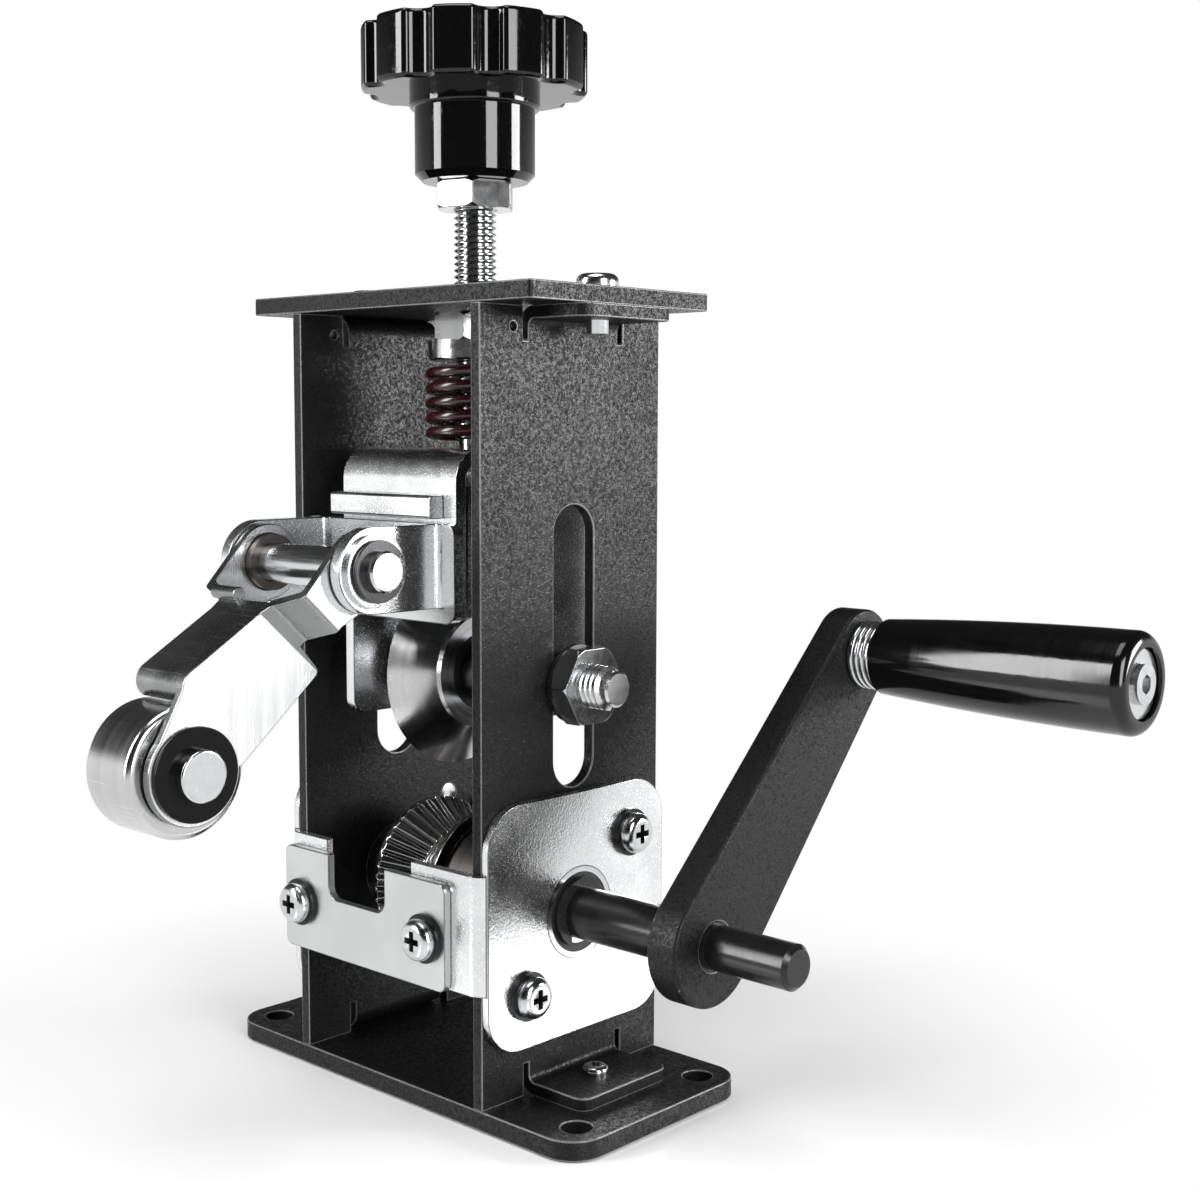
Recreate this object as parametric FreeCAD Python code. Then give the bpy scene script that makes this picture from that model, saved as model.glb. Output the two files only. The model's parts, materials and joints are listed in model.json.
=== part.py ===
import FreeCAD, Part
import math
import os

# Bench wire stripper driven by a hand crank or a drill.
# +X points to the crank, -Y is the side the wire goes in, +Z is up.
# The origin is the centre of the base plate's underside. Sizes are in millimetres.

os.makedirs("parts", exist_ok=True)

V = FreeCAD.Vector
AXIS_X = V(1, 0, 0)
AXIS_Y = V(0, 1, 0)
AXIS_Z = V(0, 0, 1)

# ---------------------------------------------------------------- fits
screw_clear = 0.1       # between a fixed screw and its hole, radial
press_clear = 0.02      # between a fixed ring or bush and its seat, radial
run_clear = 0.05        # between a shaft and what turns on it, radial
thread_clear = 0.08     # between the adjusting screw and the nut it turns in, radial
slide_gap = 0.35        # between flat faces that move past each other
grub_gap = 0.1          # between a grub screw's tip and the shaft
clip_gap = 0.1          # between a retaining clip and the face it holds
spring_gap = 0.02       # between the spring's end coils and what they press on
tool_past = 1.0         # how far a drill or cutter runs past the face it cuts
same = 0.01             # faces and edges nearer than this are the same one
fine_chamfer = 0.5      # on turned ends

# ---------------------------------------------------------------- base plate
base_length = 120.0
base_depth = 58.0
base_thick = 4.5
base_corner_r = 8.0
mount_hole_r = 3.5
mount_from_end = 7.5    # mounting holes, from the plate's ends
mount_from_side = 8.5   # and from its long sides

# ---------------------------------------------------------------- tower
tower_depth = base_depth    # side plates are flush with the base, front and back
tower_inside = 58.0     # between the two side plates
side_thick = 3.0
side_height = 177.0
tab_reach = 17.0        # how far a foot or flange stands out from its side plate
tab_width = 29.0
tab_corner_r = 3.0
bend_r = 1.5            # inside radius of the side plate's bends
relief_width = 1.6      # slits beside a bend
relief_height = 6.0
tab_hole_out = 7.0      # screw centre, out from the side plate's outer face
pilot_r = 1.0           # small setting-out hole near the top corner
pilot_from_front = 10.0
pilot_from_top = 4.8
slot_width = 13.0
slot_low = 68.7         # slot ends, above the base plate
slot_high = 133.2
lid_length = 94.0
lid_thick = 4.0
lid_corner_r = 1.0
lid_hole_r = 5.6

# ---------------------------------------------------------------- M5 pan screws
pan_r = 2.5
pan_head_r = 4.75
pan_head_height = 3.2
pan_head_round = 1.4
cross_width = 1.1
cross_length = 5.2
cross_depth = 1.7
lid_screw_length = 10.0
washer_r = 5.6
washer_thick = 1.0

# ---------------------------------------------------------------- M3 foot screws
foot_r = 1.5
foot_head_r = 3.05
foot_head_height = 1.9
foot_head_round = 0.9
foot_cross_width = 0.75
foot_cross_length = 3.4
foot_cross_depth = 1.1
foot_screw_length = 7.0

# ---------------------------------------------------------------- M10 hardware
m10_r = 5.0
m10_pitch = 1.5
m10_flats = 17.0        # across flats
axle_nut_height = 5.0    # thin nut
jam_nut_height = 6.3
captive_nut_height = 6.4
nut_chamfer_share = 0.045   # of the size across flats
socket_chamfer = 0.1
thread_depth_share = 0.61   # of the pitch
thread_mouth_share = 0.86      # of the pitch, between two crests

# ---------------------------------------------------------------- wire line
wire_x = -6.0           # the cutter's edge, the roller's groove and the notches sit here
arm_x = -4.0            # middle of the clevis, the swing arm and its roller
guide_x = -4.0          # middle of the guide plates
stop_x = -2.0           # middle of the stop block

# ---------------------------------------------------------------- drive shaft
shaft_height = 39.8     # shaft centre, above the base plate
shaft_r = 6.0
crank_seat_r = 5.5      # the part of the shaft that carries the crank arm
stub_r = 5.0
stub_length = 22.0      # past the crank arm, for a drill chuck
stub_chamfer = 1.0
shaft_left_over = 3.5   # past the left bracket
ring_thick = 1.0        # retaining rings on the shaft
ring_width = 2.2
ring_groove = 0.4
clip_mouth_share = 0.7  # a clip's open half width, as a share of its bore

# ---------------------------------------------------------------- shaft bearings (12 x 21 x 5)
bearing_r = 10.5
bearing_race = 1.2
bearing_ball_r = 0.95
bearing_balls = 13
bearing_shield = 0.4
shield_sink = 0.2       # from the races' faces to a shield
shield_run = 0.3        # between a shield and the inner race, radial

# ---------------------------------------------------------------- bearing brackets
bracket_thick = 2.0
bracket_drop = 28.0     # from the shaft centre to the top and bottom edges
bracket_corner_r = 10.0
bracket_tab_height = 27.0
bracket_tab_left = -19.0    # where the left bracket's tabs end
bracket_tab_right = 11.0    # where the right bracket's tabs end
bracket_bend_r = 4.0
bracket_screw_y = 17.0
bracket_screw_z = 15.8
bracket_screw_length = 6.0

# ---------------------------------------------------------------- guide plates
guide_thick = 2.0
guide_length = 56.5
guide_height = 24.5
guide_above_shaft = 10.7
guide_corner_r = 2.0
notch_width = 20.0
notch_depth = 10.5
notch_corner_r = 3.0
guide_screw_span = 44.0     # between the two screws of one plate
guide_screw_below_shaft = 2.3
guide_screw_length = 7.5

# ---------------------------------------------------------------- drive roller
rim_r = 19.5
groove_r = 13.0
groove_half = 10.0
groove_floor = 2.0
rim_land = 1.5
drum_r = 16.5
drum_length = 11.0
teeth = 40
tooth_depth = 1.1
tooth_width = 1.6
tooth_over = 0.6        # how far a gullet runs past the rim's corner
grub_r = 2.5
grub_length = 7.0
grub_socket_r = 1.3
grub_socket_depth = 2.5
clamp_screw_r = 1.5     # two screws that hold the roller's halves together
clamp_screw_length = 14.0
clamp_head_r = 2.75
clamp_head_height = 1.8
clamp_slot_width = 0.8
clamp_slot_depth = 0.9
clamp_circle_r = 9.6    # where they sit, from the shaft's centre

# ---------------------------------------------------------------- carriage
axle_height = 92.5      # blade axle centre at rest, above the base plate
saddle_rise = 53.0      # from the axle to the saddle's top
saddle_width = 39.0
saddle_depth = 49.0
sheet = 3.0             # saddle, fork and clevis sheet
saddle_bend = 7.0       # outside radius
saddle_leg = 34.0
fork_neck_depth = 34.0  # the fork's top, inside the saddle's bends
fork_neck_height = 5.0
fork_depth = 42.4       # inside the saddle's legs
fork_foot_depth = 48.4  # below the saddle's legs
fork_bend = 5.0
fork_right_front = 17.0  # the right leg's foot is cut back, so that the blade can be seen
fork_below_axle = 9.7
fork_corner_r = 3.5
journal_r = 4.0         # the adjusting screw's turned end
stop_width = 34.6
stop_height = 5.2
stop_thick = 4.0
stop_gap = 0.9          # between the stop block and the clevis under it

# ---------------------------------------------------------------- cutter
cutter_r = 23.0
cutter_hub_r = 13.5
cutter_left = 4.0       # from the edge to the left face
cutter_right = 8.0
cutter_bevel = 6.5
cutter_back_bevel = 2.0
cutter_shoulder_r = 17.5
cutter_bearing_r = 11.0
cutter_bearing_width = 5.0
cutter_bearing_race = 1.6
cutter_ball_r = 1.2
cutter_balls = 11

# ---------------------------------------------------------------- blade axle
axle_past_nut = 7.2
axle_thread_inside = 1.5    # how far the thread runs inside the side plate's face
thread_join = 2.0       # how deep a cut thread's blank reaches into the plain rod
axle_washer_r = 9.0
axle_washer_thick = 1.2
axle_nut_turn = 30.0    # degrees, so that two flats lie level
spacer_r = 7.2

# ---------------------------------------------------------------- clevis and pivot
clevis_inside = 36.0
clevis_ear_r = 9.4
clevis_plate_left = 27.0    # the back plate's ends, from the tower's middle
clevis_plate_right = 22.1
clevis_plate_below = 12.8   # from the pivot to the back plate's lower edge
clevis_plate_corner_r = 3.0
clevis_weld = 1.5       # bead between an ear and the back plate
pivot_forward = 21.5    # from the saddle's front face
pivot_rise = 27.5       # from the blade axle
pivot_r = 4.5
pivot_past_ear = 4.6
clip_r = 6.8
clip_thick = 1.0
clip_groove = 0.6
stop_chamfer = 0.4
pivot_washer_r = 8.0
pivot_washer_thick = 1.2

# ---------------------------------------------------------------- swing arm and guide roller
arm_sheet = 2.0
arm_length = 54.8
arm_droop = 47.1        # degrees below level
arm_inside = 13.2       # between the cheeks at the roller
arm_pivot_eye_r = 8.6
arm_roller_eye_r = 11.0
arm_jog_start = 12.9    # along the arm from the pivot, as are all of these up to arm_heel_at
arm_jog_end = 15.8
arm_flare_end = 20.0
arm_web_start = 16.5
arm_neck_at = 18.9
arm_heel_at = 19.7
web_to_roller = 15.2    # along the arm, from the web's end to the roller's centre
waist_to_roller = 7.8
left_end_to_roller = 14.8   # the left cheek stops here, short of the roller
arm_web_end = arm_length - web_to_roller
arm_waist_at = arm_length - waist_to_roller
arm_left_end = arm_length - left_end_to_roller
arm_web_low = 8.4       # web's outer face at its start, from the line between the two pins
arm_web_high = 14.9     # and at its end
arm_neck = 3.6          # how far the cheeks reach below that line
arm_heel = 11.6
arm_waist = 8.4
arm_flare = 1.1         # how much wider the cheeks stand at the jog than at the roller
arm_bend = 1.2
arm_corner_r = 1.5
arm_lip_bend = 4.0
arm_lip_low = 10.5
arm_curl_r = 1.5        # rolled edge beside the web's start
arm_curl_at = 15.4
arm_curl_height = 8.7
arm_curl_start = -12.2  # from the arm's middle
arm_curl_length = 8.5
eye_bush_r = 6.4
eye_bush_inward = 2.0
roller_r = 14.1
roller_length = 16.3
roller_gap = 0.6        # between the roller and the right cheek, which carries its pin
roller_recess_r = 10.6
roller_recess_depth = 1.2
roller_bush_r = 6.0
roller_boss = 1.2       # wall around the bush
bush_past_roller = 0.35
roller_edge = 1.5
roller_pin_r = 4.0
roller_pin_head_r = 5.5
roller_pin_head = 2.6
roller_washer_r = 10.0
roller_washer_thick = 1.0
roller_clip_r = 6.6
roller_pin_tail = 3.0   # past the bush, with the clip's groove in it

# ---------------------------------------------------------------- spring
spring_r = 10.6         # wire centre line
spring_wire_r = 1.35
spring_pitch = 3.45
seat_r = 11.2
seat_height = 4.6

# ---------------------------------------------------------------- adjusting screw and knob
screw_showing = 20.0    # thread between the lid and the jam nut at rest
lock_nut_flats = 13.0
lock_nut_height = 5.5
screw_tail = 1.2
knob_hub_r = 14.0
knob_hub_height = 16.4
knob_hub_chamfer = 1.6
knob_neck_r = 15.2
knob_neck_height = 3.6
knob_neck_edge = 0.8
knob_crown_r = 26.2
knob_crown_height = 15.0
knob_lobes = 10
knob_scallop_r = 3.4
knob_scallop_out = 27.0
knob_lobe_round = 1.4   # on the upright edges of the lobes
knob_edge = 1.2
jam_nut_turn = 12.6     # degrees
knob_insert_r = 8.0
knob_insert_height = 18.0
knob_seat_past = 0.2    # its seat is this much deeper

# ---------------------------------------------------------------- crank and handle
crank_gap = 6.0         # between the base plate's end and the crank arm
crank_thick = 8.0
crank_length = 80.0
crank_angle = 46.5      # degrees above level, towards the back
crank_hub_r = 13.5
crank_tip_r = 10.5
crank_edge = 0.8
ferrule_rings = 4
ferrule_ring_r = 8.0
ferrule_ring_thick = 1.5
ferrule_ring_round = 0.6
grip_length = 63.0
grip_start_r = 8.8
grip_end_r = 11.2
grip_swell_r = 10.6
grip_round = 2.6
grip_recess_r = 7.8
grip_recess_depth = 2.2
spindle_r = 4.0
spindle_head_r = 4.4
spindle_head_height = 1.2
spindle_socket_r = 1.9
spindle_socket_depth = 2.2
end_washer_r = 7.4
end_washer_thick = 0.8
spindle_nut_flats = 13.0
spindle_nut_height = 3.2

# ---------------------------------------------------------------- positions worked out from the sizes
deck = base_thick
side_in = tower_inside / 2
side_out = side_in + side_thick
front = -tower_depth / 2
back = tower_depth / 2
tower_top = deck + side_height
lid_top = tower_top + lid_thick
bracket_out = side_out + bracket_thick
shaft_z = deck + shaft_height
axle_z = deck + axle_height
saddle_top = axle_z + saddle_rise
saddle_half = saddle_width / 2
saddle_front = -saddle_depth / 2
fork_top = saddle_top - sheet
fork_in = saddle_half - sheet
fork_foot_top = saddle_top - saddle_leg - slide_gap
pivot_y = saddle_front - pivot_forward
pivot_z = axle_z + pivot_rise
ear_in = clevis_inside / 2
ear_out = ear_in + sheet
clevis_back = saddle_front
clevis_face = clevis_back - sheet
seat_top = tower_top - captive_nut_height
seat_low = seat_top - seat_height
jam_low = lid_top + screw_showing
jam_top = jam_low + jam_nut_height
hub_top = jam_top + knob_hub_height
crank_in = base_length / 2 + crank_gap
crank_out = crank_in + crank_thick
groove_left = wire_x - groove_half
groove_right = wire_x + groove_half
drum_end = groove_right + drum_length
washer_in = side_out + slide_gap
nut_in = washer_in + axle_washer_thick
axle_half = nut_in + axle_nut_height + axle_past_nut
cheek_face = arm_x + arm_inside / 2 + arm_sheet
roller_right = arm_x + arm_inside / 2 - roller_gap
roller_left = roller_right - roller_length
clip_face = roller_left - bush_past_roller - clip_gap - clip_thick


# ---------------------------------------------------------------- plain shapes
def block(x0, x1, y0, y1, z0, z1):
    return Part.makeBox(x1 - x0, y1 - y0, z1 - z0, V(x0, y0, z0))


def rod_x(radius, x0, x1, y, z):
    return Part.makeCylinder(radius, x1 - x0, V(x0, y, z), AXIS_X)


def rod_y(radius, y0, y1, x, z):
    return Part.makeCylinder(radius, y1 - y0, V(x, y0, z), AXIS_Y)


def rod_z(radius, z0, z1, x, y):
    return Part.makeCylinder(radius, z1 - z0, V(x, y, z0), AXIS_Z)


def ring_x(outer, inner, x0, x1, y, z):
    return rod_x(outer, x0, x1, y, z).cut(rod_x(inner, x0, x1, y, z))


def ring_z(outer, inner, z0, z1):
    return rod_z(outer, z0, z1, 0, 0).cut(rod_z(inner, z0, z1, 0, 0))


def mirror_x(shape):
    return shape.mirror(V(0, 0, 0), AXIS_X)


def mirror_y(shape):
    return shape.mirror(V(0, 0, 0), AXIS_Y)


def group(shapes):
    return Part.makeCompound(shapes)


def face_of(points):
    wire = Part.makePolygon(points + [points[0]])
    return Part.Face(wire)


def round_edges(shape, radius, keep):
    """Round every edge that the test named keep picks."""
    return shape.makeFillet(radius, [edge for edge in shape.Edges if keep(edge)])


def runs_along(edge, axis):
    first = edge.Vertexes[0].Point
    last = edge.Vertexes[-1].Point
    span = last.sub(first)
    return span.Length > same and abs(abs(span.dot(axis)) - span.Length) < same / 10


def rounded_plate_z(length, depth, z0, z1, corner):
    """Flat plate with rounded upright corners, centred on the Z axis."""
    plate = block(-length / 2, length / 2, -depth / 2, depth / 2, z0, z1)
    return round_edges(plate, corner, lambda edge: runs_along(edge, AXIS_Z))


def hexagon(flats, height, chamfer):
    """Hex prism on the XY plane, its corners turned down at both ends."""
    corner = flats / math.sqrt(3)
    points = []
    for step in range(6):
        angle = math.radians(60 * step)
        points.append(V(corner * math.cos(angle), corner * math.sin(angle), 0))
    prism = face_of(points).extrude(V(0, 0, height))
    turned = Part.makeCylinder(corner, height)
    turned = turned.makeChamfer(chamfer, [edge for edge in turned.Edges if len(edge.Vertexes) == 1])
    return prism.common(turned)


def hex_nut_z(flats, z0, height, bore):
    nut = hexagon(flats, height, nut_chamfer_share * flats)
    nut = nut.cut(Part.makeCylinder(bore, height))
    nut.translate(V(0, 0, z0))
    return nut


def turn_to_x(shape):
    """Lay a shape that was made along +Z down along +X."""
    shape.rotate(V(0, 0, 0), AXIS_Y, 90)
    return shape


def hex_nut_x(flats, x0, height, bore, y, z):
    nut = turn_to_x(hex_nut_z(flats, 0, height, bore))
    nut.translate(V(x0, y, z))
    return nut


def threaded_rod(radius, pitch, length):
    """Rod from Z = 0 up: turned-down ends, and V grooves one pitch apart that stand for its thread."""
    depth = thread_depth_share * pitch
    mouth = thread_mouth_share * pitch
    land = pitch - mouth
    root = radius - depth
    points = [V(0, 0, 0), V(root, 0, 0), V(radius, 0, depth)]
    z = depth + land
    for _ in range(int((length - 2 * depth - land - same) / pitch)):
        points += [V(radius, 0, z), V(root, 0, z + mouth / 2), V(radius, 0, z + mouth)]
        z += pitch
    points += [V(radius, 0, length - depth), V(root, 0, length), V(0, 0, length)]
    return face_of(points).revolve(V(0, 0, 0), AXIS_Z, 360)


# ---------------------------------------------------------------- screws, rings and bearings
def cross_screw(length, shank_r, head, cross):
    """Cross-head screw on Z = 0, shank down; head is its radius, height and rounding."""
    head_r, height, head_round = head
    cross_long, cross_wide, cross_deep = cross
    body = Part.makeCylinder(head_r, height)
    top = [edge for edge in body.Edges if edge.BoundBox.ZMin > height - same]
    body = body.makeFillet(head_round, top)
    shank = Part.makeCylinder(shank_r, length, V(0, 0, -length))
    half = cross_long / 2
    thin = cross_wide / 2
    floor = height - cross_deep
    first = block(-half, half, -thin, thin, floor, height)
    second = block(-thin, thin, -half, half, floor, height)
    return body.fuse(shank).cut(first.fuse(second)).removeSplitter()


def pan_screw(length):
    head = (pan_head_r, pan_head_height, pan_head_round)
    return cross_screw(length, pan_r, head, (cross_length, cross_width, cross_depth))


def foot_screw():
    head = (foot_head_r, foot_head_height, foot_head_round)
    cross = (foot_cross_length, foot_cross_width, foot_cross_depth)
    return cross_screw(foot_screw_length, foot_r, head, cross)


def grub_screw(length):
    """Socket grub screw from Z = 0 up, with the socket at the top."""
    body = Part.makeCylinder(grub_r, length)
    socket = hexagon(2 * grub_socket_r, grub_socket_depth, socket_chamfer)
    socket.translate(V(0, 0, length - grub_socket_depth))
    return body.cut(socket)


def washer_z(outer, bore, thick):
    return Part.makeCylinder(outer, thick).cut(Part.makeCylinder(bore, thick))


def clip_x(outer, bore, thick):
    """Open retaining ring lying across the X axis, its gap at the bottom."""
    ring = ring_x(outer, bore, 0, thick, 0, 0)
    mouth = bore * clip_mouth_share
    return ring.cut(block(0, thick, -mouth, mouth, -outer, 0))


def bearing(outer, bore, width, race, ball_r, balls, shield):
    """Shielded ball bearing along +X from X = 0: outer race, inner race, balls, shields."""
    pitch_r = (outer - race + bore + race) / 2
    outer_race = ring_x(outer, outer - race, 0, width, 0, 0)
    inner_race = ring_x(bore + race, bore, 0, width, 0, 0)
    row = []
    for step in range(balls):
        angle = 2 * math.pi * step / balls
        spot = V(width / 2, pitch_r * math.cos(angle), pitch_r * math.sin(angle))
        row.append(Part.makeSphere(ball_r, spot))
    shield_in = bore + race + shield_run
    shield_end = shield_sink + shield
    near = ring_x(outer - race, shield_in, shield_sink, shield_end, 0, 0)
    far = ring_x(outer - race, shield_in, width - shield_end, width - shield_sink, 0, 0)
    return outer_race, inner_race, group(row), group([near, far])


# ---------------------------------------------------------------- frame
def make_base_plate():
    plate = rounded_plate_z(base_length, base_depth, 0, base_thick, base_corner_r)
    for side_x in (-1, 1):
        for side_y in (-1, 1):
            spot_x = side_x * (base_length / 2 - mount_from_end)
            spot_y = side_y * (base_depth / 2 - mount_from_side)
            plate = plate.cut(rod_z(mount_hole_r, 0, base_thick, spot_x, spot_y))
        screw_x = side_x * (side_out + tab_hole_out)
        plate = plate.cut(rod_z(foot_r + screw_clear, 0, base_thick, screw_x, 0))
    return plate


def bent_tab(z_face, upward):
    """Foot or flange: an L of sheet bent out from the right-hand side plate."""
    turn = 1 if upward else -1
    outer_r = bend_r + side_thick
    reach = side_out + tab_reach
    rise = outer_r + relief_height / 2
    half = tab_width / 2
    z_rise = z_face + turn * rise
    z_far = z_face + turn * side_thick
    foot = block(side_in, reach, -half, half, min(z_face, z_rise), max(z_face, z_rise))
    inner = block(side_out, reach, -half, half, min(z_far, z_rise), max(z_far, z_rise))
    shape = foot.cut(inner)

    def outside_bend(edge):
        middle = edge.BoundBox.Center
        return runs_along(edge, AXIS_Y) and abs(middle.x - side_in) < same and abs(middle.z - z_face) < same

    def inside_bend(edge):
        middle = edge.BoundBox.Center
        return runs_along(edge, AXIS_Y) and abs(middle.x - side_out) < same and abs(middle.z - z_far) < same

    def outer_corner(edge):
        return runs_along(edge, AXIS_Z) and edge.BoundBox.XMin > reach - same

    shape = round_edges(shape, tab_corner_r, outer_corner)
    shape = round_edges(shape, outer_r, outside_bend)
    return round_edges(shape, bend_r, inside_bend)


def make_side_plate_right():
    plate = block(side_in, side_out, front, back, deck, tower_top)
    half = tab_width / 2
    slit = half + relief_width
    rise = bend_r + side_thick + relief_height / 2
    plate = plate.cut(block(side_in, side_out, -slit, slit, deck, deck + rise))
    plate = plate.cut(block(side_in, side_out, -slit, slit, tower_top - rise, tower_top))
    foot = bent_tab(deck, True)
    flange = bent_tab(tower_top, False)
    neck_low = block(side_in, side_out, -half, half, deck + rise, deck + rise + tool_past)
    neck_high = block(side_in, side_out, -half, half, tower_top - rise - tool_past, tower_top - rise)
    plate = plate.fuse([foot, flange, neck_low, neck_high]).removeSplitter()
    screw_x = side_out + tab_hole_out
    plate = plate.cut(rod_z(foot_r + screw_clear, deck, deck + side_thick, screw_x, 0))
    plate = plate.cut(rod_z(pan_r + screw_clear, tower_top - side_thick, tower_top, screw_x, 0))
    slot_r = slot_width / 2
    low = deck + slot_low + slot_r
    high = deck + slot_high - slot_r
    plate = plate.cut(rod_x(slot_r, side_in, side_out, 0, low))
    plate = plate.cut(rod_x(slot_r, side_in, side_out, 0, high))
    plate = plate.cut(block(side_in, side_out, -slot_r, slot_r, low, high))
    pilot_y = front + pilot_from_front
    pilot_z = tower_top - pilot_from_top
    plate = plate.cut(rod_x(pilot_r, side_in, side_out, pilot_y, pilot_z))
    plate = plate.cut(rod_x(bearing_r + press_clear, side_in, side_out, 0, shaft_z))
    for turn in (-1, 1):
        spot_y = turn * bracket_screw_y
        spot_z = shaft_z + turn * bracket_screw_z
        plate = plate.cut(rod_x(pan_r + screw_clear, side_in, side_out, spot_y, spot_z))
    return plate


def make_lid():
    lid = rounded_plate_z(lid_length, tower_depth, tower_top, lid_top, lid_corner_r)
    lid = lid.cut(rod_z(lid_hole_r, tower_top, lid_top, 0, 0))
    for side in (-1, 1):
        screw_x = side * (side_out + tab_hole_out)
        lid = lid.cut(rod_z(pan_r + screw_clear, tower_top, lid_top, screw_x, 0))
    return lid


def screws_facing_up(screw, z_under_head):
    screws = []
    for side in (-1, 1):
        copy = screw.copy()
        copy.translate(V(side * (side_out + tab_hole_out), 0, z_under_head))
        screws.append(copy)
    return group(screws)


def make_captive_nut():
    return hex_nut_z(m10_flats, seat_top, captive_nut_height, m10_r + thread_clear)


def make_spring_seat():
    cup = ring_z(seat_r, m10_r + 2 * slide_gap, seat_low, seat_top)
    lower = [edge for edge in cup.Edges if edge.BoundBox.ZMax < seat_low + same]
    return cup.makeChamfer(fine_chamfer, lower)


def make_spring():
    start = saddle_top + spring_wire_r + spring_gap
    rise = seat_low - spring_wire_r - spring_gap - start
    helix = Part.makeHelix(spring_pitch, rise, spring_r)
    section = Part.Wire(Part.makeCircle(spring_wire_r, V(spring_r, 0, 0), AXIS_Y))
    coil = Part.Wire(helix).makePipeShell([section], True, True)
    coil.translate(V(0, 0, start))
    return coil


# ---------------------------------------------------------------- bearing brackets and guide plates
def make_bracket(tab_end):
    """Right-hand bracket: flat side wall with a wrap-round tab at the front and the back."""
    low = shaft_z - bracket_drop
    high = shaft_z + bracket_drop
    wall = block(side_out, bracket_out, front, back, low, high)
    wall = round_edges(wall, bracket_corner_r, lambda edge: runs_along(edge, AXIS_X))
    tab_low = shaft_z - bracket_tab_height / 2
    tab_high = shaft_z + bracket_tab_height / 2
    tab = block(tab_end, bracket_out, front - bracket_thick, front + bracket_bend_r, tab_low, tab_high)
    tab = tab.cut(block(tab_end, side_out, front, front + bracket_bend_r, tab_low, tab_high))

    def outer_bend(edge):
        box = edge.BoundBox
        return runs_along(edge, AXIS_Z) and box.XMin > bracket_out - same and box.YMax < front - same

    tab = round_edges(tab, bracket_bend_r, outer_bend)
    bracket = wall.fuse([tab, mirror_y(tab)]).removeSplitter()
    bracket = bracket.cut(rod_x(bearing_r + press_clear, side_out, bracket_out, 0, shaft_z))
    for turn in (-1, 1):
        spot_y = turn * bracket_screw_y
        spot_z = shaft_z + turn * bracket_screw_z
        bracket = bracket.cut(rod_x(pan_r + screw_clear, side_out, bracket_out, spot_y, spot_z))
    return bracket


def drill_guide_holes(shape):
    """Screw holes through the tabs and the guide plates, front and back."""
    spot_z = shaft_z - guide_screw_below_shaft
    for spot_x in (guide_x - guide_screw_span / 2, guide_x + guide_screw_span / 2):
        reach = back + bracket_thick + guide_thick
        shape = shape.cut(rod_y(pan_r + screw_clear, -reach, -back, spot_x, spot_z))
        shape = shape.cut(rod_y(pan_r + screw_clear, back, reach, spot_x, spot_z))
    return shape


def make_bracket_right():
    return drill_guide_holes(make_bracket(bracket_tab_right))


def make_bracket_left():
    return drill_guide_holes(mirror_x(make_bracket(-bracket_tab_left)))


def make_side_screws():
    screws = []
    washers = []
    for side in (-1, 1):
        for turn in (-1, 1):
            screw = turn_to_x(pan_screw(bracket_screw_length))
            washer = turn_to_x(washer_z(washer_r, pan_r + screw_clear, washer_thick))
            spot = V(bracket_out, turn * bracket_screw_y, shaft_z + turn * bracket_screw_z)
            washer.translate(spot)
            screw.translate(spot.add(V(washer_thick, 0, 0)))
            screws.append(screw if side > 0 else mirror_x(screw))
            washers.append(washer if side > 0 else mirror_x(washer))
    return group(screws), group(washers)


def make_guide_front():
    outer = front - bracket_thick - guide_thick
    inner = front - bracket_thick
    top = shaft_z + guide_above_shaft
    low = top - guide_height
    plate = block(guide_x - guide_length / 2, guide_x + guide_length / 2, outer, inner, low, top)
    plate = round_edges(plate, guide_corner_r, lambda edge: runs_along(edge, AXIS_Y))
    half = notch_width / 2
    notch = block(wire_x - half, wire_x + half, outer, inner, top - notch_depth, top + tool_past)

    def floor_corner(edge):
        return runs_along(edge, AXIS_Y) and edge.BoundBox.ZMax < top - notch_depth + same

    notch = round_edges(notch, notch_corner_r, floor_corner)
    return drill_guide_holes(plate.cut(notch))


def make_guide_screws():
    screws = []
    washers = []
    outer = front - bracket_thick - guide_thick
    spot_z = shaft_z - guide_screw_below_shaft
    for spot_x in (guide_x - guide_screw_span / 2, guide_x + guide_screw_span / 2):
        screw = pan_screw(guide_screw_length)
        screw.rotate(V(0, 0, 0), AXIS_X, 90)
        screw.translate(V(spot_x, outer - washer_thick, spot_z))
        washer = washer_z(washer_r, pan_r + screw_clear, washer_thick)
        washer.rotate(V(0, 0, 0), AXIS_X, 90)
        washer.translate(V(spot_x, outer, spot_z))
        screws += [screw, mirror_y(screw)]
        washers += [washer, mirror_y(washer)]
    return group(screws), group(washers)


# ---------------------------------------------------------------- carriage
def bent_u(half_width, top, bottom, thick, bend, along_x, run):
    """Inverted U of sheet: legs at +-half_width, run is its half length the other way."""
    outer = block(-half_width, half_width, -run, run, bottom, top)
    inner_half = half_width - thick
    inner = block(-inner_half, inner_half, -run, run, bottom, top - thick)

    def top_edge(edge):
        return runs_along(edge, AXIS_Y) and edge.BoundBox.ZMin > edge_level - same

    edge_level = top
    outer = round_edges(outer, bend, top_edge)
    edge_level = top - thick
    inner = round_edges(inner, bend - thick, top_edge)
    shape = outer.cut(inner)
    if along_x:
        shape.rotate(V(0, 0, 0), AXIS_Z, 90)
    return shape


def make_saddle():
    low = saddle_top - saddle_leg
    saddle = bent_u(saddle_depth / 2, saddle_top, low, sheet, saddle_bend, True, saddle_half)
    return saddle.cut(rod_z(journal_r + run_clear, low, saddle_top, 0, 0))


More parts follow.
